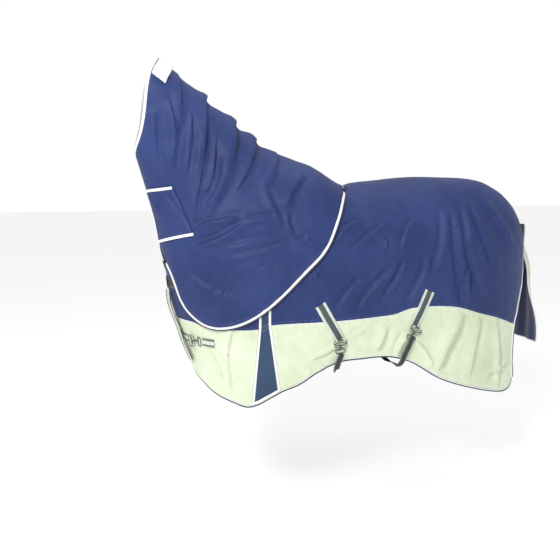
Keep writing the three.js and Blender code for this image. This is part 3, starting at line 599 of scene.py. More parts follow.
# ---- Gusset edges: the blue cloth runs on above the seam, under the bib, with a white tape up one edge ----
# of it, across its top and down the other edge. Another white tape of the same width binds its hem.
GUSSET_RISE, GUSSET_TAPE, GUSSET_TAPE_HEIGHTS, GUSSET_TOP = 18, (.0002, .0102), (.0058, .0092), (.0066, .0076)
GUSSET_HEM_TAPE = (-.0105, -.0005)
gusset_peak = UPPER_ROWS - GUSSET_RISE
for side, grid, out, lift in body_sides:
    up, across, down = np.s_[gusset_from, gusset_peak:], np.s_[gusset_from:gusset_to, gusset_peak], \
        np.s_[gusset_to, gusset_peak:]
    stood = grid + out * lift[..., None]
    path, normals = [np.concatenate([a[up][::-1], a[across][1:], a[down]]) for a in (stood, out)]
    middle = path.mean(0)
    path, normals = eased(path, 6), unit(eased(normals, 6))
    edging(f"gusset_piping_{side}_tape", path, path + (path - middle), normals, GUSSET_TAPE,
           GUSSET_TAPE_HEIGHTS, piping_white, "body_rug", f"gusset_piping_{side}")
    window = np.s_[gusset_from:gusset_to + 1, gusset_peak:UPPER_ROWS + 1]
    top = make_piece(f"gusset_top_{side}_cloth",
                     [sheet_part(*[stood[window] + out[window] * height for height in GUSSET_TOP])],
                     gusset_blue, "body_rug")
    declare_sheet(top, grid[window])
    foot = np.s_[gusset_from:gusset_to + 1]
    edging(f"gusset_hem_{side}_tape", stood[foot, -1], stood[foot, -2], out[foot, -1], GUSSET_HEM_TAPE,
           GUSSET_TAPE_HEIGHTS, piping_white, "body_rug")

# ---- Seam piping: a thin pale cord let into the seam between the navy and the pale cloth. It is covered ----
# with the same white tape as the edges, and it stops on both sides of the gusset.
SEAM_CORD = (.0034, .0030)
for side, grid, out, lift in body_sides:
    for part, columns in (("chest", np.s_[:gusset_from]), ("skirt", np.s_[gusset_to:])):
        row = (columns, UPPER_ROWS)
        stood = (grid + out * lift[..., None])[row]
        turned = unit(np.cross(tangents(stood), out[row]))
        section = rounded(*SEAM_CORD, 1, 10) + [0, SHELL[1]]
        make_piece(f"seam_cord_{part}_{side}", [swept_part(stood, turned, out[row], section)], piping_white,
                   "body_rug")

# ---- Neck cover: the same navy cloth over its own lining, from the poll to the withers. It is closed ----
# under the throat and spreads into a bib over the shoulders. It lies over the front of the body rug.
NECK_LINES = np.array([
    [(-.592, 0, .395), (-.655, -.002, .04)], [(-.51, 0, .345), (-.64, -.002, -.11)],
    [(-.43, 0, .3), (-.602, -.002, -.22)], [(-.35, 0, .25), (-.553, -.002, -.328)],
    [(-.28, 0, .205), (-.524, -.096, -.463)], [(-.215, 0, .16), (-.484, -.138, -.592)],
    [(-.15, 0, .115), (-.395, -.199, -.668)], [(-.085, 0, .07), (-.275, -.256, -.652)],
    [(-.02, 0, .035), (-.15, -.285, -.573)], [(.05, 0, .01), (-.012, -.294, -.441)],
    [(.12, 0, -.02), (.077, -.294, -.353)], [(.18, 0, -.05), (.136, -.268, -.245)],
    [(.222, 0, -.072), (.18, -.215, -.16)], [(.256, 0, -.085), (.226, -.12, -.11)]])
NECK_BULGE = [.19, .235, .29, .35, .34, .33, .33, .33, .32, .31, .3, .28, .24, .13]
NECK_SHARE = [.5, .5, .5, .5, .4, .35, .25, .15, .05, 0, 0, 0, 0, 0]
NECK_LEVEL, NECK_LINING, NECK_SHELL = .014, (0, .0012), (.0018, .003)
NECK_COLUMNS, NECK_ROWS = 261, 109


def neck_points(u, v):
    """Points of the neck cover before they settle: a bow from the crest to the edge, drawn out to the
    side."""
    crest, edge = np.moveaxis(line_at(NECK_LINES, u), 1, 0)[:, :, None, :]
    out, share = [through(list(enumerate(row)), u * (len(row) - 1))[:, None, None]
                  for row in (NECK_BULGE, NECK_SHARE)]
    control = np.concatenate([(crest[..., :1] + edge[..., :1]) / 2, -out,
                              crest[..., 2:] + (edge[..., 2:] - crest[..., 2:]) * share], -1)
    return bow(crest, control, edge, v[None, :, None])


neck_grid = finer(settle(neck_points(np.linspace(0, 1, 53), np.linspace(0, 1, 28)), NECK_LEVEL),
                  NECK_COLUMNS, NECK_ROWS)
neck_out = normals_of(neck_grid)

NECK_FOLD_DEPTH, NECK_EASE, NECK_RIPPLE = 1.6, .002, .0016

# Creases of the neck cover: the cloth falls in long folds from the crest to the point of the shoulder, where
# they meet short folds that run back along the bib. True marks one that starts at its full depth.
NECK_FOLDS = [
    ((-.37, 0, .262), (-.4, -.145, .01), (-.455, -.175, -.27), .010, .034, True),
    ((-.245, 0, .18), (-.285, -.16, -.02), (-.41, -.19, -.22), .010, .036, True),
    ((-.325, 0, .23), (-.365, -.16, -.05), (-.41, -.165, -.13), .009, .022),
    ((-.478, 0, .325), (-.48, -.11, .21), (-.5, -.12, .1), .006, .030, True),
    ((-.555, 0, .37), (-.505, -.12, .135), (-.53, -.12, -.03), .006, .02),
    ((-.585, -.1, .235), (-.585, -.105, .11), (-.575, -.1, 0), .004, .016),
    ((-.43, 0, .3), (-.445, -.12, .12), (-.47, -.15, -.06), .006, .018),
    ((-.45, -.175, -.255), (-.38, -.205, -.225), (-.24, -.24, -.205), .008, .014),
    ((-.47, -.18, -.33), (-.36, -.225, -.295), (-.23, -.245, -.215), .009, .018),
    ((-.25, -.245, -.225), (-.18, -.25, -.215), (-.12, -.26, -.215), .006, .014),
    ((-.16, -.185, -.05), (-.125, -.245, -.175), (-.085, -.275, -.265), .006, .018),
    ((.05, -.15, -.03), (-.035, -.225, -.115), (-.065, -.25, -.185), .007, .022),
    ((-.065, -.25, -.185), (-.07, -.27, -.235), (-.05, -.285, -.29), .006, .015),
    ((-.35, -.235, -.34), (-.215, -.265, -.305), (-.07, -.28, -.295), .006, .015),
    ((-.33, -.245, -.375), (-.195, -.275, -.35), (-.075, -.285, -.31), .004, .013),
    ((-.225, -.275, -.425), (-.145, -.29, -.415), (-.065, -.295, -.405), .004, .012),
    ((-.07, -.28, -.295), (-.02, -.29, -.31), (.015, -.285, -.28), .005, .012),
    ((-.06, 0, .055), (-.1, -.16, -.03), (-.16, -.205, -.1), .007, .03),
    ((-.15, 0, .115), (-.2, -.14, .0), (-.29, -.19, -.13), .009, .036, True),
    ((-.5, -.14, -.42), (-.4, -.2, -.5), (-.28, -.25, -.55), .005, .03)]


def neck_folds(p):
    """How far the neck cover stands off its form. Its hollows stay shallow, most of all low on the bib,
    since the body rug lies beneath."""
    q = near_place(p)
    lift = NECK_EASE + ripple(q, NECK_RIPPLE) * smooth(-.02, .06, -q[..., 1])
    for fold in NECK_FOLDS:
        lift = lift + NECK_FOLD_DEPTH * crease(q, *fold)
    depth = .0016 + .0022 * smooth(-.46, -.38, q[..., 2]) + .009 * smooth(-.1, .1, q[..., 2])
    return np.where(lift < 0, -depth * np.tanh(-lift / depth), lift)


neck_sides = [(side, grid, out, neck_folds(grid)) for side, grid, out in
              (("near", neck_grid, neck_out), ("off", mirrored(neck_grid), mirrored(neck_out)))]
for side, grid, out, lift in neck_sides:
    for layer, heights, material, slot in (("neck_lining", NECK_LINING, lining_dark, "lining_cloth"),
                                           ("neck_shell", NECK_SHELL, navy, "navy_cloth")):
        part = sheet_part(*[grid + out * (lift + height)[..., None] for height in heights])
        piece = make_piece(f"{layer}_{side}_cloth", [part], material, "neck_cover", [f"{layer}_{side}"])
        declare_sheet(piece, grid)

# ---- Edges of the neck cover: a broad white tape down its front edge, and another round the bib and up ----
# over the withers, with a narrow dark binding beyond it.
NECK_EDGE, NECK_TAPE, NECK_BINDING, BIB_FROM = (-.0003, .0036), (0, .012), (.0128, .0172), 72
for side, grid, out, lift in neck_sides:
    stood = grid + out * lift[..., None]
    edging(f"neck_front_piping_{side}_tape", stood[0, 3:], stood[1, 3:], out[0, 3:], NECK_TAPE, NECK_EDGE,
           piping_white, "neck_cover", f"neck_front_piping_{side}")
    path, inner, normals = [np.concatenate([a[BIB_FROM:, -1 - k], a[-1 - k, -2::-1]])
                            for a, k in ((stood, 0), (stood, 1), (out, 0))]
    path, normals = eased(path, 30), unit(eased(normals, 30))
    inner = eased(inner, 30)
    for tape, reach, material, slot in (("piping", NECK_TAPE, piping_white, "white_piping"),
                                        ("binding", NECK_BINDING, binding_dark, "dark_binding")):
        edging(f"bib_{tape}_{side}_tape", path, inner, normals, reach, NECK_EDGE, material, "neck_cover",
               f"bib_{tape}_{side}")

# ---- Poll pad: a block of white fleece over the crest behind the ears, which keeps the cover off ----
# the mane. It is sewn down all round, so that its thickness falls away at its rim.
POLL_FROM, POLL_TO, POLL_REACH, POLL_THICK = .004, .056, .11, .007
pad_u, pad_v = np.linspace(POLL_FROM, POLL_TO, 41), np.linspace(0, POLL_REACH, 31)
half_pad = settle(neck_points(pad_u, pad_v), NECK_LEVEL + .008)
pad_grid = np.concatenate([mirrored(half_pad)[:, :0:-1], half_pad], 1)
pad_out = normals_of(pad_grid)
round_off = [np.abs(np.linspace(-1, 1, n)) for n in pad_grid.shape[:2]]
crown = (1 - np.maximum(round_off[0][:, None], round_off[1][None]) ** 8) ** .5
x, y, z = np.moveaxis(pad_grid, -1, 0)
pile = (.0006 * np.sin(900 * x + 400 * y) * np.sin(850 * z - 300 * y)
        + .0005 * np.sin(410 * x - 520 * z + 300 * y))
pad_top = pad_grid + pad_out * (.001 + POLL_THICK * crown + pile * crown)[..., None]
fleece, start, paint = new_material("fleece", .95, sheen_weight=.6)
pile_bump_and_shade = start.noise(260.0, 4.0)
# Painted shade: the fleece is darker where its pile sinks in the bump and lighter where it rises.
paint(base_color=pile_bump_and_shade.mix((.66, .68, .74, 1), (.9, .91, .95, 1)),
      normal=start.make("ShaderNodeBump", {"Height": pile_bump_and_shade, "Strength": .8, "Distance": .003}))
poll_pad = make_piece("poll_fleece", [sheet_part(pad_grid, pad_top)], fleece, "neck_cover",
                      ["poll_pad"])

# ---- Wither tab: a patch of touch-and-close tape on the body rug, under the back of the neck ----
# cover, which it holds down. It is sewn flat over the spine, across both halves of the rug.
TAB_FROM, TAB_TO, TAB_HALF, TAB_START_HEIGHT, TAB_HEIGHTS = .115, .185, .026, -.04, (.0064, .0096)
tab_places = np.meshgrid(np.linspace(TAB_FROM, TAB_TO, 25), np.linspace(-TAB_HALF, TAB_HALF, 21),
                         [TAB_START_HEIGHT], indexing="ij")
tab_grid = settle(np.stack(tab_places, -1)[:, :, 0])
tab_out = normals_of(tab_grid)
tab_lift = body_folds(tab_grid)[..., None]
make_piece("wither_tab_tape",
           [sheet_part(*[tab_grid + tab_out * (height + tab_lift) for height in TAB_HEIGHTS])],
           binding_dark, "body_rug", ["wither_tab"])

# ---- Throat flap: a short tab of the navy cloth, sewn down behind the jaw and closed round the front of ----
# the neck. A broad white tape binds its top, its front and its lower edge.
FLAP_SEWN = np.array([(-.528, -.118, -.086), (-.449, -.176, -.288)])
FLAP_FRONT = np.array([(-.612, -.062, -.098), (-.525, -.08, -.312)])
FLAP_FREE = np.array([(-.643, -.012, -.106), (-.559, -.010, -.328)])
FLAP_LEVEL, FLAP_CLOTH, FLAP_TAPE_HEIGHTS, FLAP_TAPE = .0214, (0, .0014), (-.0004, .0026), (-.0118, .0004)
FLAP_FOLDS = [((-.575, -.09, -.1), (-.51, -.13, -.19), (-.46, -.17, -.27), .005, .012),
              ((-.62, -.03, -.12), (-.57, -.07, -.2), (-.53, -.08, -.3), .003, .014)]
downwards = np.linspace(0, 1, 49)[None, :, None]
lines = [a[0] + (a[1] - a[0]) * downwards[0] for a in (FLAP_SEWN, FLAP_FRONT, FLAP_FREE)]
flap_grid = settle(line_at(np.stack(lines), np.linspace(0, 1, 61)), FLAP_LEVEL)
flap_out = normals_of(flap_grid)
flap_lift = neck_folds(flap_grid) + sum(crease(flap_grid, *fold) for fold in FLAP_FOLDS)
stood = flap_grid + flap_out * flap_lift[..., None]
throat_flap = make_piece("throat_flap_cloth", [sheet_part(*[stood + flap_out * h for h in FLAP_CLOTH])], navy,
                         "throat_flap", ["throat_flap"])
declare_sheet(throat_flap, flap_grid)
path, normals = [np.concatenate([a[:, 0], a[-1, 1:], a[-2::-1, -1]]) for a in (stood, flap_out)]
inner = np.concatenate([stood[:, 1], stood[-2, 1:], stood[-2::-1, -2]])
path, normals, inner = eased(path, 4), unit(eased(normals, 4)), eased(inner, 4)
edging("throat_flap_tape", path, inner, normals, FLAP_TAPE, FLAP_TAPE_HEIGHTS, piping_white, "throat_flap",
       "throat_flap_piping")

# ---- Tail flap: pale cloth outside and dark lining inside, sewn under the back of the rug so that it ----
# lifts with the tail. It wraps a little round the tail, and white piping edges it.
TAIL_LINE = np.array([(1.262, 0, -.282), (1.304, 0, -.385), (1.349, 0, -.5), (1.348, 0, -.62),
                      (1.354, 0, -.76), (1.352, 0, -.9)])
TAIL_NARROW, TAIL_WIDE, TAIL_WRAP, TAIL_LAYERS = .072, .128, .074, (0, .0012, .0026, .004)
TAIL_TAPE, TAIL_TAPE_HEIGHTS = (-.001, .005), (-.0032, .0032)


def tail_place(across, down):
    """A point of the tail flap: down its middle line, out by its half width, and forward by the square of
    that, less so near its foot. Soft folds fan out below the dock."""
    middle = line_at(TAIL_LINE, down)
    half = TAIL_NARROW + (TAIL_WIDE - TAIL_NARROW) * smooth(.1, .9, down)
    wrap = TAIL_WRAP * smooth(0, .35, down) * (1 - .8 * smooth(.5, .95, down)) * across**2
    fold = .004 * smooth(.15, .8, down) * np.sin(9 * across + 2 * down + .6) * (1 - .3 * across**2)
    return middle + np.stack([fold - wrap, half * across, 0 * across], -1)


across, down = np.meshgrid(np.linspace(-.975, .975, 81), np.linspace(.002, .995, 101), indexing="ij")
tail_grid = tail_place(across, down)
backwards = np.array([1.0, 0, 0])
tail_faces = [tail_grid + backwards * x for x in TAIL_LAYERS]
for name, inner, outer, material, slot in (("tail_flap_lining", 0, 1, lining_dark, "lining_cloth"),
                                           ("tail_flap_cloth", 2, 3, pale, "pale_cloth")):
    piece = make_piece(name, [sheet_part(tail_faces[inner], tail_faces[outer])], material, "tail_flap",
                       ["tail_flap"])
    declare_sheet(piece, tail_grid)
path, outwards = [np.concatenate([a[0], a[1:, -1], a[-1, -2::-1]]) for a in
                  (tail_grid + backwards * .002, np.broadcast_to(backwards, tail_grid.shape))]
path = eased(path, 12)
edging("tail_flap_tape", path, path * .9 + tail_grid.mean((0, 1)) * .1, outwards, TAIL_TAPE,
       TAIL_TAPE_HEIGHTS, piping_white, "tail_flap", "tail_flap_piping")

# ---- Patches for the belly fastenings: broad webbing with pale edges and a grey-green middle, sewn down ----
# the flank on both sides. The near side ones end in a loop that carries the slotted plate.
FRONT_PATCH = [(.06, -.308, -.586), (.105, -.313, -.665), (.151, -.317, -.742)]
REAR_PATCH = [(.574, -.328, -.548), (.538, -.327, -.63), (.502, -.326, -.706)]
PATCH_WIDTH, PATCH_HEIGHTS = .049, (.0068, .0088)


def webbing(name, middle, edge, half_width, half_middle, pitch=.0032):
    """Flat webbing: a twill of slanting ribs, with the middle of its width in one colour and its edges in
    another, a line of stitches beside each edge, and some fading."""
    material, start, paint = new_material(name, .75, sheen_weight=.05)
    along, across = start.across("cloth", 0), start.across("cloth", 1)
    slant = across.size().maths("PINGPONG", pitch * 2)
    ribs = (along + slant).wave(pitch)
    fade = start.noise(35.0, 4.0)
    edge_mask = across.size().above(half_middle)
    stitch = (across.size() - (half_width - .003)).size().below(.0006) * along.repeat(.004).below(.6)
    plain = edge_mask.mix(middle, edge)
    worn = (fade * .5 + ribs * .07 + .5).mix((.02, .03, .03, 1), plain)
    height = ribs + stitch * .6
    paint(base_color=stitch.mix(worn, (.75, .76, .72, 1)),
          normal=start.make("ShaderNodeBump", {"Height": height, "Strength": .5, "Distance": .0006}))
    return material


def strip(points, width, heights, rows=9, count=61, cloth_folds=body_folds):
    """Webbing laid on the form: its middle line settled, then offset to each side, and raised with the
    cloth."""
    path = settle(line_at(points, np.linspace(0, 1, count)))
    turned = unit(np.cross(tangents(path), slope(form, path, .001)))
    grid = settle(path[:, None] + turned[:, None] * np.linspace(-width / 2, width / 2, rows)[None, :, None])
    out, lift = normals_of(grid), cloth_folds(grid)[..., None]
    part = list(sheet_part(*[grid + out * (lift + height) for height in heights]))
    part[2] = part[2] - [0, width / 2]
    return tuple(part)


def seat(at, up, height):
    """Where a fitting stands on the cloth: its foot, and its own directions across, along and out."""
    foot = settle(np.array(at), height)
    out = unit(slope(form, foot, .001))
    across = unit(np.cross(up, out))
    return foot, np.array([across, np.cross(out, across), out])


def loop_part(place, centre, section, radius):
    """A short end of webbing turned round a bar: three quarters of a circle in the fitting's upright plane,
    flat across it."""
    foot, axes = place
    a = np.linspace(-math.pi / 2, math.pi, 21)
    local = np.stack([0 * a, centre[0] + radius * np.cos(a), centre[1] + radius * np.sin(a)], -1)
    outwards = np.stack([0 * a, np.cos(a), np.sin(a)], -1)
    path = foot + local @ axes
    return swept_part(path, np.broadcast_to(axes[0], path.shape), outwards @ axes, section)


patch_web = webbing("edged_webbing", (.075, .120, .115, 1), (.84, .88, .78, 1), PATCH_WIDTH / 2, .0125)
for name, line in (("front", FRONT_PATCH), ("rear", REAR_PATCH)):
    for side, turn in (("near", 1), ("off", -1)):
        part = strip(np.array(line) * [1, turn, 1], PATCH_WIDTH, PATCH_HEIGHTS)
        make_piece(f"{name}_patch_{side}_web", [part], patch_web, "body_rug",
                   [f"{name}_patch_{side}"])

# ---- Belly straps: two dark webbing straps that cross under the horse, each from a T-hook on the near ----
# side to the patch of the other fastening on the off side.
STRAP_WIDTH, STRAP_THICK, BELLY = .028, .0016, -.864
FRONT_STRAP = [(.153, -.331, -.799), (.144, -.333, -.82), (.135, -.334, -.842), (.131, -.324, -.872),
               (.14, -.296, -.877), (.172, -.24, -.872), (.24, -.14, BELLY), (.4, .082, BELLY),
               (.452, .168, -.868), (.48, .25, -.876), (.493, .322, -.889), (.498, .35, -.868),
               (.5, .346, -.81), (.501, .338, -.752), (.503, .335, -.716)]
REAR_STRAP = [(.492, -.336, -.748), (.474, -.34, -.786), (.452, -.343, -.826), (.44, -.336, -.864),
              (.432, -.312, -.882), (.42, -.25, -.882), (.4, -.138, BELLY - .008), (.25, .106, BELLY - .008),
              (.205, .178, -.876), (.165, .258, -.88), (.144, .312, -.882), (.136, .336, -.864),
              (.138, .335, -.828), (.142, .331, -.795), (.149, .327, -.754)]
strap_web = webbing("dark_webbing", (.028, .040, .038, 1), (.022, .032, .032, 1), STRAP_WIDTH / 2, .009,
                    pitch=.0026)


def ribbon_part(points, width, thick):
    """Flat webbing that hangs free: it faces down under the belly and turns to face outwards up the
    flanks."""
    path = line_at(np.array(points), np.linspace(0, 1, 141))
    flank = smooth(.175, .325, np.abs(path[:, 1]))
    facing = np.stack([0 * flank, np.sign(path[:, 1]) * flank, flank - 1], -1)
    side = unit(np.cross(tangents(path), facing))
    face = unit(np.cross(side, tangents(path)))
    face = face * np.sign((face * facing).sum(-1, keepdims=True))
    return swept_part(path, side, face, rounded(width, thick, .4) + [0, thick / 2])


for name, line in (("front", FRONT_STRAP), ("rear", REAR_STRAP)):
    make_piece(f"{name}_belly_web", [ribbon_part(line, STRAP_WIDTH, STRAP_THICK)], strap_web, "body_rug",
               [f"{name}_belly_strap"])

# ---- Belly hooks: bent steel wire. The plate is a frame with a bar across it, held by the patch's loop. ----
# The T-hook carries the strap on a flat ring, and its upturned cross bar stands outside the plate's slot.
# Their sizes are across, along and out, from where the hook stands in the slot.
HOOK_RING, HOOK_RING_AT, HOOK_RING_OUT, HOOK_RING_WIRE = (.044, .016), (0, -.027), .002, .00168
HOOK_STEM = [(0, -.020, .002), (0, -.008, .002), (0, .0005, .004), (0, .0024, .009), (0, .0024, .0155)]
STEM_HALF, CROSS_BAR, CROSS_WIRE = .0036, (.056, .0022, .0155, .009), .0024
PLATE_FRAME, PLATE_AT, PLATE_OUT, PLATE_CURVE, PLATE_WIRE = (.056, .034), (0, .008), .001, .006, .0015
PLATE_BAR, PLATE_BAR_WIRE = (.054, .012, .001, 0), .0013
LOOP_AT, LOOP_WIDTH, LOOP_THICK, LOOP_RADIUS = (.0245, .001), .044, .0016, .0034
BELLY_HOOK_LEVEL, BELLY_PLATE_LEVEL, OUTWARDS = .008, .017, (0, 0, 1)


def steel_finish(name, colour, roughness=.32):
    """Plated steel: bright, a little uneven, with fine scratches and dull patches."""
    material, start, paint = new_material(name, roughness, metallic=1.0)
    dull, scratch = start.noise(60.0, 4.0), start.noise(700.0, 2.0)
    paint(base_color=(dull * 1.4 - .2).mix(tuple(c * .6 for c in colour[:3]) + (1,), colour),
          roughness=dull * .3 + (roughness - .1),
          normal=start.make("ShaderNodeBump", {"Height": scratch, "Strength": .15, "Distance": .0004}))
    return material


steel = steel_finish("plated_steel", (.15, .155, .165, 1))


def wire_part(place, local, radius, facing, flatten=1.0, loop=False):
    """Wire bent along a path that is given in a fitting's own directions. It is round, or flattened towards
    the direction that it faces."""
    foot, axes = place
    path, facing = np.asarray(local, float) @ axes + foot, np.asarray(facing, float) @ axes
    run = unit(np.roll(path, -1, 0) - np.roll(path, 1, 0)) if loop else tangents(path)
    side = unit(np.cross(run, facing))
    return swept_part(path, side, np.cross(side, run), rounded(2 * radius, 2 * radius * flatten, 1, 12), loop)


def frame_line(width, height, corner, centre=(0, 0), z=0.0, sag=0.0, count=96):
    """A closed line with rounded corners: a superellipse. Its lower rail may curve up towards the ends."""
    a = np.linspace(0, 2 * math.pi, count, endpoint=False)
    x = width / 2 * np.sign(np.cos(a)) * np.abs(np.cos(a)) ** corner
    y = height / 2 * np.sign(np.sin(a)) * np.abs(np.sin(a)) ** corner
    y = y + sag * (2 * x / width) ** 2 * (y < 0)
    return np.stack([x + centre[0], y + centre[1], np.full(count, z)], -1)


def curved_bar(width, y, z, rise, count=31):
    """A bar whose ends turn up: its height grows with the square of the distance from the middle."""
    x = np.linspace(-width / 2, width / 2, count)
    return np.stack([x, y + rise * (2 * x / width) ** 2, np.full(count, z)], -1)


def hook_parts(place):
    """The T-hook: a ring for the strap, a flat stem that rises through the slot, and the cross bar outside
    it, with its ends turned up."""
    ring = frame_line(*HOOK_RING, .35, HOOK_RING_AT, HOOK_RING_OUT)
    stem = line_at(HOOK_STEM, np.linspace(0, 1, 33))
    return [wire_part(place, ring, HOOK_RING_WIRE, OUTWARDS, loop=True),
            wire_part(place, stem, STEM_HALF, (1, 0, 0), .5),
            wire_part(place, curved_bar(*CROSS_BAR), CROSS_WIRE, OUTWARDS)]


def plate_parts(place):
    """The slotted plate: a wire frame whose lower rail curves up at its ends, and a bar between its two
    slots."""
    rails = frame_line(*PLATE_FRAME, .3, PLATE_AT, PLATE_OUT, PLATE_CURVE)
    return [wire_part(place, rails, PLATE_WIRE, OUTWARDS, loop=True),
            wire_part(place, curved_bar(*PLATE_BAR), PLATE_BAR_WIRE, OUTWARDS)]


BELLY_SEATS = {"front": ((.151, -.317, -.768), (-.1, 0, 1)), "rear": ((.502, -.326, -.732), (.036, 0, .076))}
for name, (at, up) in BELLY_SEATS.items():
    make_piece(f"{name}_hook_wire", hook_parts(seat(at, up, BELLY_HOOK_LEVEL)), steel, f"{name}_t_hook",
               [f"{name}_t_hook"])
    plate = seat(at, up, BELLY_PLATE_LEVEL)
    make_piece(f"{name}_plate_wire", plate_parts(plate), steel, "body_rug", [f"{name}_slot_plate"])
    webbing_section = rounded(LOOP_WIDTH, LOOP_THICK, .4)
    make_piece(f"{name}_patch_loop", [loop_part(plate, LOOP_AT, webbing_section, LOOP_RADIUS)], patch_web,
               "body_rug")

# ---- Strap sliders: a flat steel ring round each belly strap under the belly, which sets its ----
# length. It is bent from flat strip, with a round bar along its lower side.
SLIDER_RING, SLIDER_STRIP, SLIDER_BAR_HALF, SLIDER_BAR_WIRE = (.048, .009), (.016, .0026), .021, .0014
SLIDERS = {"front": ((.2684, -.1006, BELLY - .0008), (.160, .222, 0)),
           "rear": ((.3832, -.1107, BELLY - .0088), (-.150, .244, 0))}
for name, (at, heading) in SLIDERS.items():
    along = unit(np.array(heading, float))
    axes = np.array([np.cross([0, 0, 1], along), [0, 0, 1], along])
    foot = np.array(at)
    path = frame_line(*SLIDER_RING, .3) @ axes + foot
    run = unit(np.roll(path, -1, 0) - np.roll(path, 1, 0))
    turned = np.broadcast_to(along, path.shape)
    bar_line = [(x, -SLIDER_RING[1] / 2, 0) for x in np.linspace(-SLIDER_BAR_HALF, SLIDER_BAR_HALF, 9)]
    bar = wire_part((foot, axes), bar_line, SLIDER_BAR_WIRE, OUTWARDS)
    ring = swept_part(path, turned, unit(np.cross(run, turned)), rounded(*SLIDER_STRIP, .5), True)
    make_piece(f"{name}_slider_ring", [ring, bar], steel, f"{name}_slider", [f"{name}_strap_slider"])

# ---- Chest fastenings: above, a dark strap with a small buckle, whose long tail hangs free. Below, two ----
# patches of edged webbing that join across the breast with a T-hook.
CHEST_WIDTH, CHEST_PATCH, CHEST_HEIGHTS = .04, .034, (.0085, .0101)
STRAP_TAIL_WIDTH, STRAP_TAIL_THICK = .049, .0017
BUCKLE_AT, BUCKLE_LEVEL, BUCKLE_FRAME, BUCKLE_WIRE = (-.525, -.028, -.501), .0114, (.027, .048), .0019
PRONG_HALF, PRONG_OUT, PRONG_BOW, PRONG_WIRE = .0125, .0052, .002, .0015
CHEST_HOOK_LEVEL, CHEST_PLATE_LEVEL = .009, .018
UPPER_NEAR = [(-.486, -.112, -.498), (-.514, -.07, -.5), (-.524, -.042, -.501)]
UPPER_OFF = [(-.524, -.014, -.501), (-.517, .055, -.5), (-.486, .112, -.498), (-.42, .176, -.496)]
LOWER_NEAR = [(-.38, -.195, -.751), (-.402, -.178, -.75), (-.424, -.158, -.748)]
LOWER_OFF = [(-.478, -.086, -.744), (-.5, 0, -.744), (-.478, .086, -.744), (-.43, .15, -.744)]
STRAP_TAIL = [(-.538, -.027, -.534, .014), (-.541, -.03, -.585, .017), (-.537, -.034, -.64, .019),
              (-.53, -.04, -.7, .019), (-.519, -.046, -.76, .02), (-.506, -.054, -.815, .016),
              (-.49, -.066, -.866, .014)]
upper_web = webbing("chest_webbing", (.028, .040, .038, 1), (.022, .032, .032, 1), CHEST_WIDTH / 2, .012,
                    pitch=.0026)
lower_web = webbing("chest_patch_webbing", (.84, .87, .78, 1), (.040, .060, .062, 1),
                    CHEST_PATCH / 2, .0095)
tail_web = webbing("pale_webbing", (.78, .84, .68, 1), (.028, .040, .038, 1), STRAP_TAIL_WIDTH / 2,
                   .0135)


def no_folds(p):
    """The chest webbing bridges the small folds of the cloth under it."""
    return BODY_EASE + np.zeros(p.shape[:-1])


for name, line, width, material, slot in (
        ("upper_chest_strap_near", UPPER_NEAR, CHEST_WIDTH, upper_web, "dark_webbing"),
        ("upper_chest_strap_off", UPPER_OFF, CHEST_WIDTH, upper_web, "dark_webbing"),
        ("lower_chest_patch_near", LOWER_NEAR, CHEST_PATCH, lower_web, "edged_webbing"),
        ("lower_chest_patch_off", LOWER_OFF, CHEST_PATCH, lower_web, "edged_webbing")):
    part = strip(line, width, CHEST_HEIGHTS, cloth_folds=no_folds)
    make_piece(f"{name}_web", [part], material, "body_rug", [name])
buckle = seat(settle(np.array(BUCKLE_AT), .01), (0, 0, 1), BUCKLE_LEVEL)
buckle_line = frame_line(*BUCKLE_FRAME, .35, z=.0015)
make_piece("chest_buckle_wire", [wire_part(buckle, buckle_line, BUCKLE_WIRE, OUTWARDS, .8, True)],
           steel, "body_rug", ["chest_buckle_frame"])
prong_line = [(x, 0, PRONG_OUT - PRONG_BOW * (x / PRONG_HALF) ** 2)
              for x in np.linspace(-PRONG_HALF, PRONG_HALF, 25)]
make_piece("chest_prong_wire", [wire_part(buckle, prong_line, PRONG_WIRE, OUTWARDS)],
           steel, "buckle_prong", ["chest_buckle_prong"])

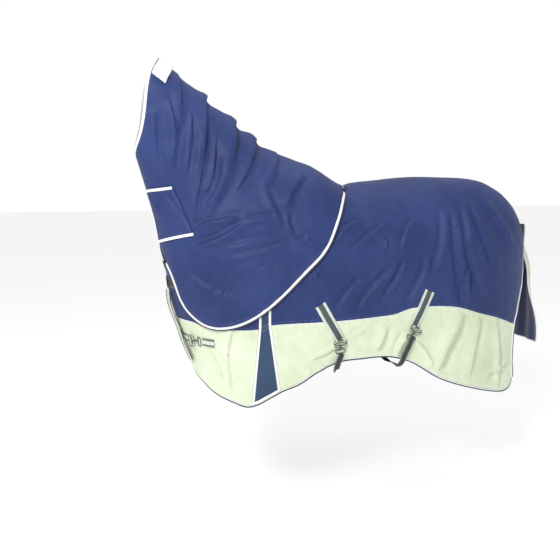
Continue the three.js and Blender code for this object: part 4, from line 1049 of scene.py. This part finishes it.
tail_points = line_at(np.array(STRAP_TAIL), np.linspace(0, 1, 71))
tail_path = settle(tail_points[:, :3], tail_points[:, 3])
tail_path[:, 0] -= .0008 + .003 * np.sin(np.linspace(0, 9, 71))
side_to_side = np.broadcast_to(np.array([-.27, .963, 0]), tail_path.shape)
facing = unit(np.cross(tangents(tail_path), side_to_side))
make_piece("upper_strap_tail_web", [swept_part(tail_path, unit(np.cross(facing, tangents(tail_path))), facing,
                                               rounded(STRAP_TAIL_WIDTH, STRAP_TAIL_THICK, .4))],
           tail_web, "body_rug", ["upper_strap_tail"])

CHEST_SEAT = ((-.452, -.126, -.746), (-.032, .028, .002))
make_piece("chest_hook_wire", hook_parts(seat(*CHEST_SEAT, CHEST_HOOK_LEVEL)), steel, "chest_t_hook",
           ["chest_t_hook"])
make_piece("chest_plate_wire", plate_parts(seat(*CHEST_SEAT, CHEST_PLATE_LEVEL)), steel, "body_rug",
           ["chest_slot_plate"])

# ---- Studio: a plain pale floor, a large soft light on the camera's side, a weak one over the back, and ----
# an even surround, which is seen as white but lights the rug more weakly than that.
FLOOR_HEIGHT, FLOOR_HALF, FLOOR_GLOW = -1.66, 30, .36
floor = bpy.data.objects.new("floor", bpy.data.meshes.new("floor"))
floor_corners = [(x * FLOOR_HALF, y * FLOOR_HALF, FLOOR_HEIGHT)
                 for x, y in ((-1, -1), (1, -1), (1, 1), (-1, 1))]
floor.data.from_pydata(floor_corners, [], [(0, 1, 2, 3)])
floor.data.materials.append(new_material("floor_paint", .9, base_color=(.9, .9, .9, 1),
                                         emission_color=(1, 1, 1, 1), emission_strength=FLOOR_GLOW)[0])
bpy.context.collection.objects.link(floor)


def lamp(name, place, turn, size, power):
    light = bpy.data.objects.new(name, bpy.data.lights.new(name, "AREA"))
    light.data.size, light.data.energy = size, power
    light.location, light.rotation_euler = place, [math.radians(a) for a in turn]
    bpy.context.collection.objects.link(light)


lamp("key_light", (-2.1, -2.8, 2.1), (53, 0, -44), 1.2, 122)
lamp("top_light", (.9, .2, 3.0), (0, 8, 0), 1.8, 22)
surround = bpy.data.worlds.new("studio")
surround.use_nodes = True
surround.node_tree.nodes["Background"].inputs["Color"].default_value = (1, 1, 1, 1)
SEEN_WHITE, SOFT_LIGHT = 1.0, .6
seen = Value(surround.node_tree).make("ShaderNodeLightPath")
surround.node_tree.links.new((seen * (SEEN_WHITE - SOFT_LIGHT) + SOFT_LIGHT).socket,
                             surround.node_tree.nodes["Background"].inputs["Strength"])
bpy.context.scene.world = surround
bpy.context.scene.view_settings.view_transform = "Standard"
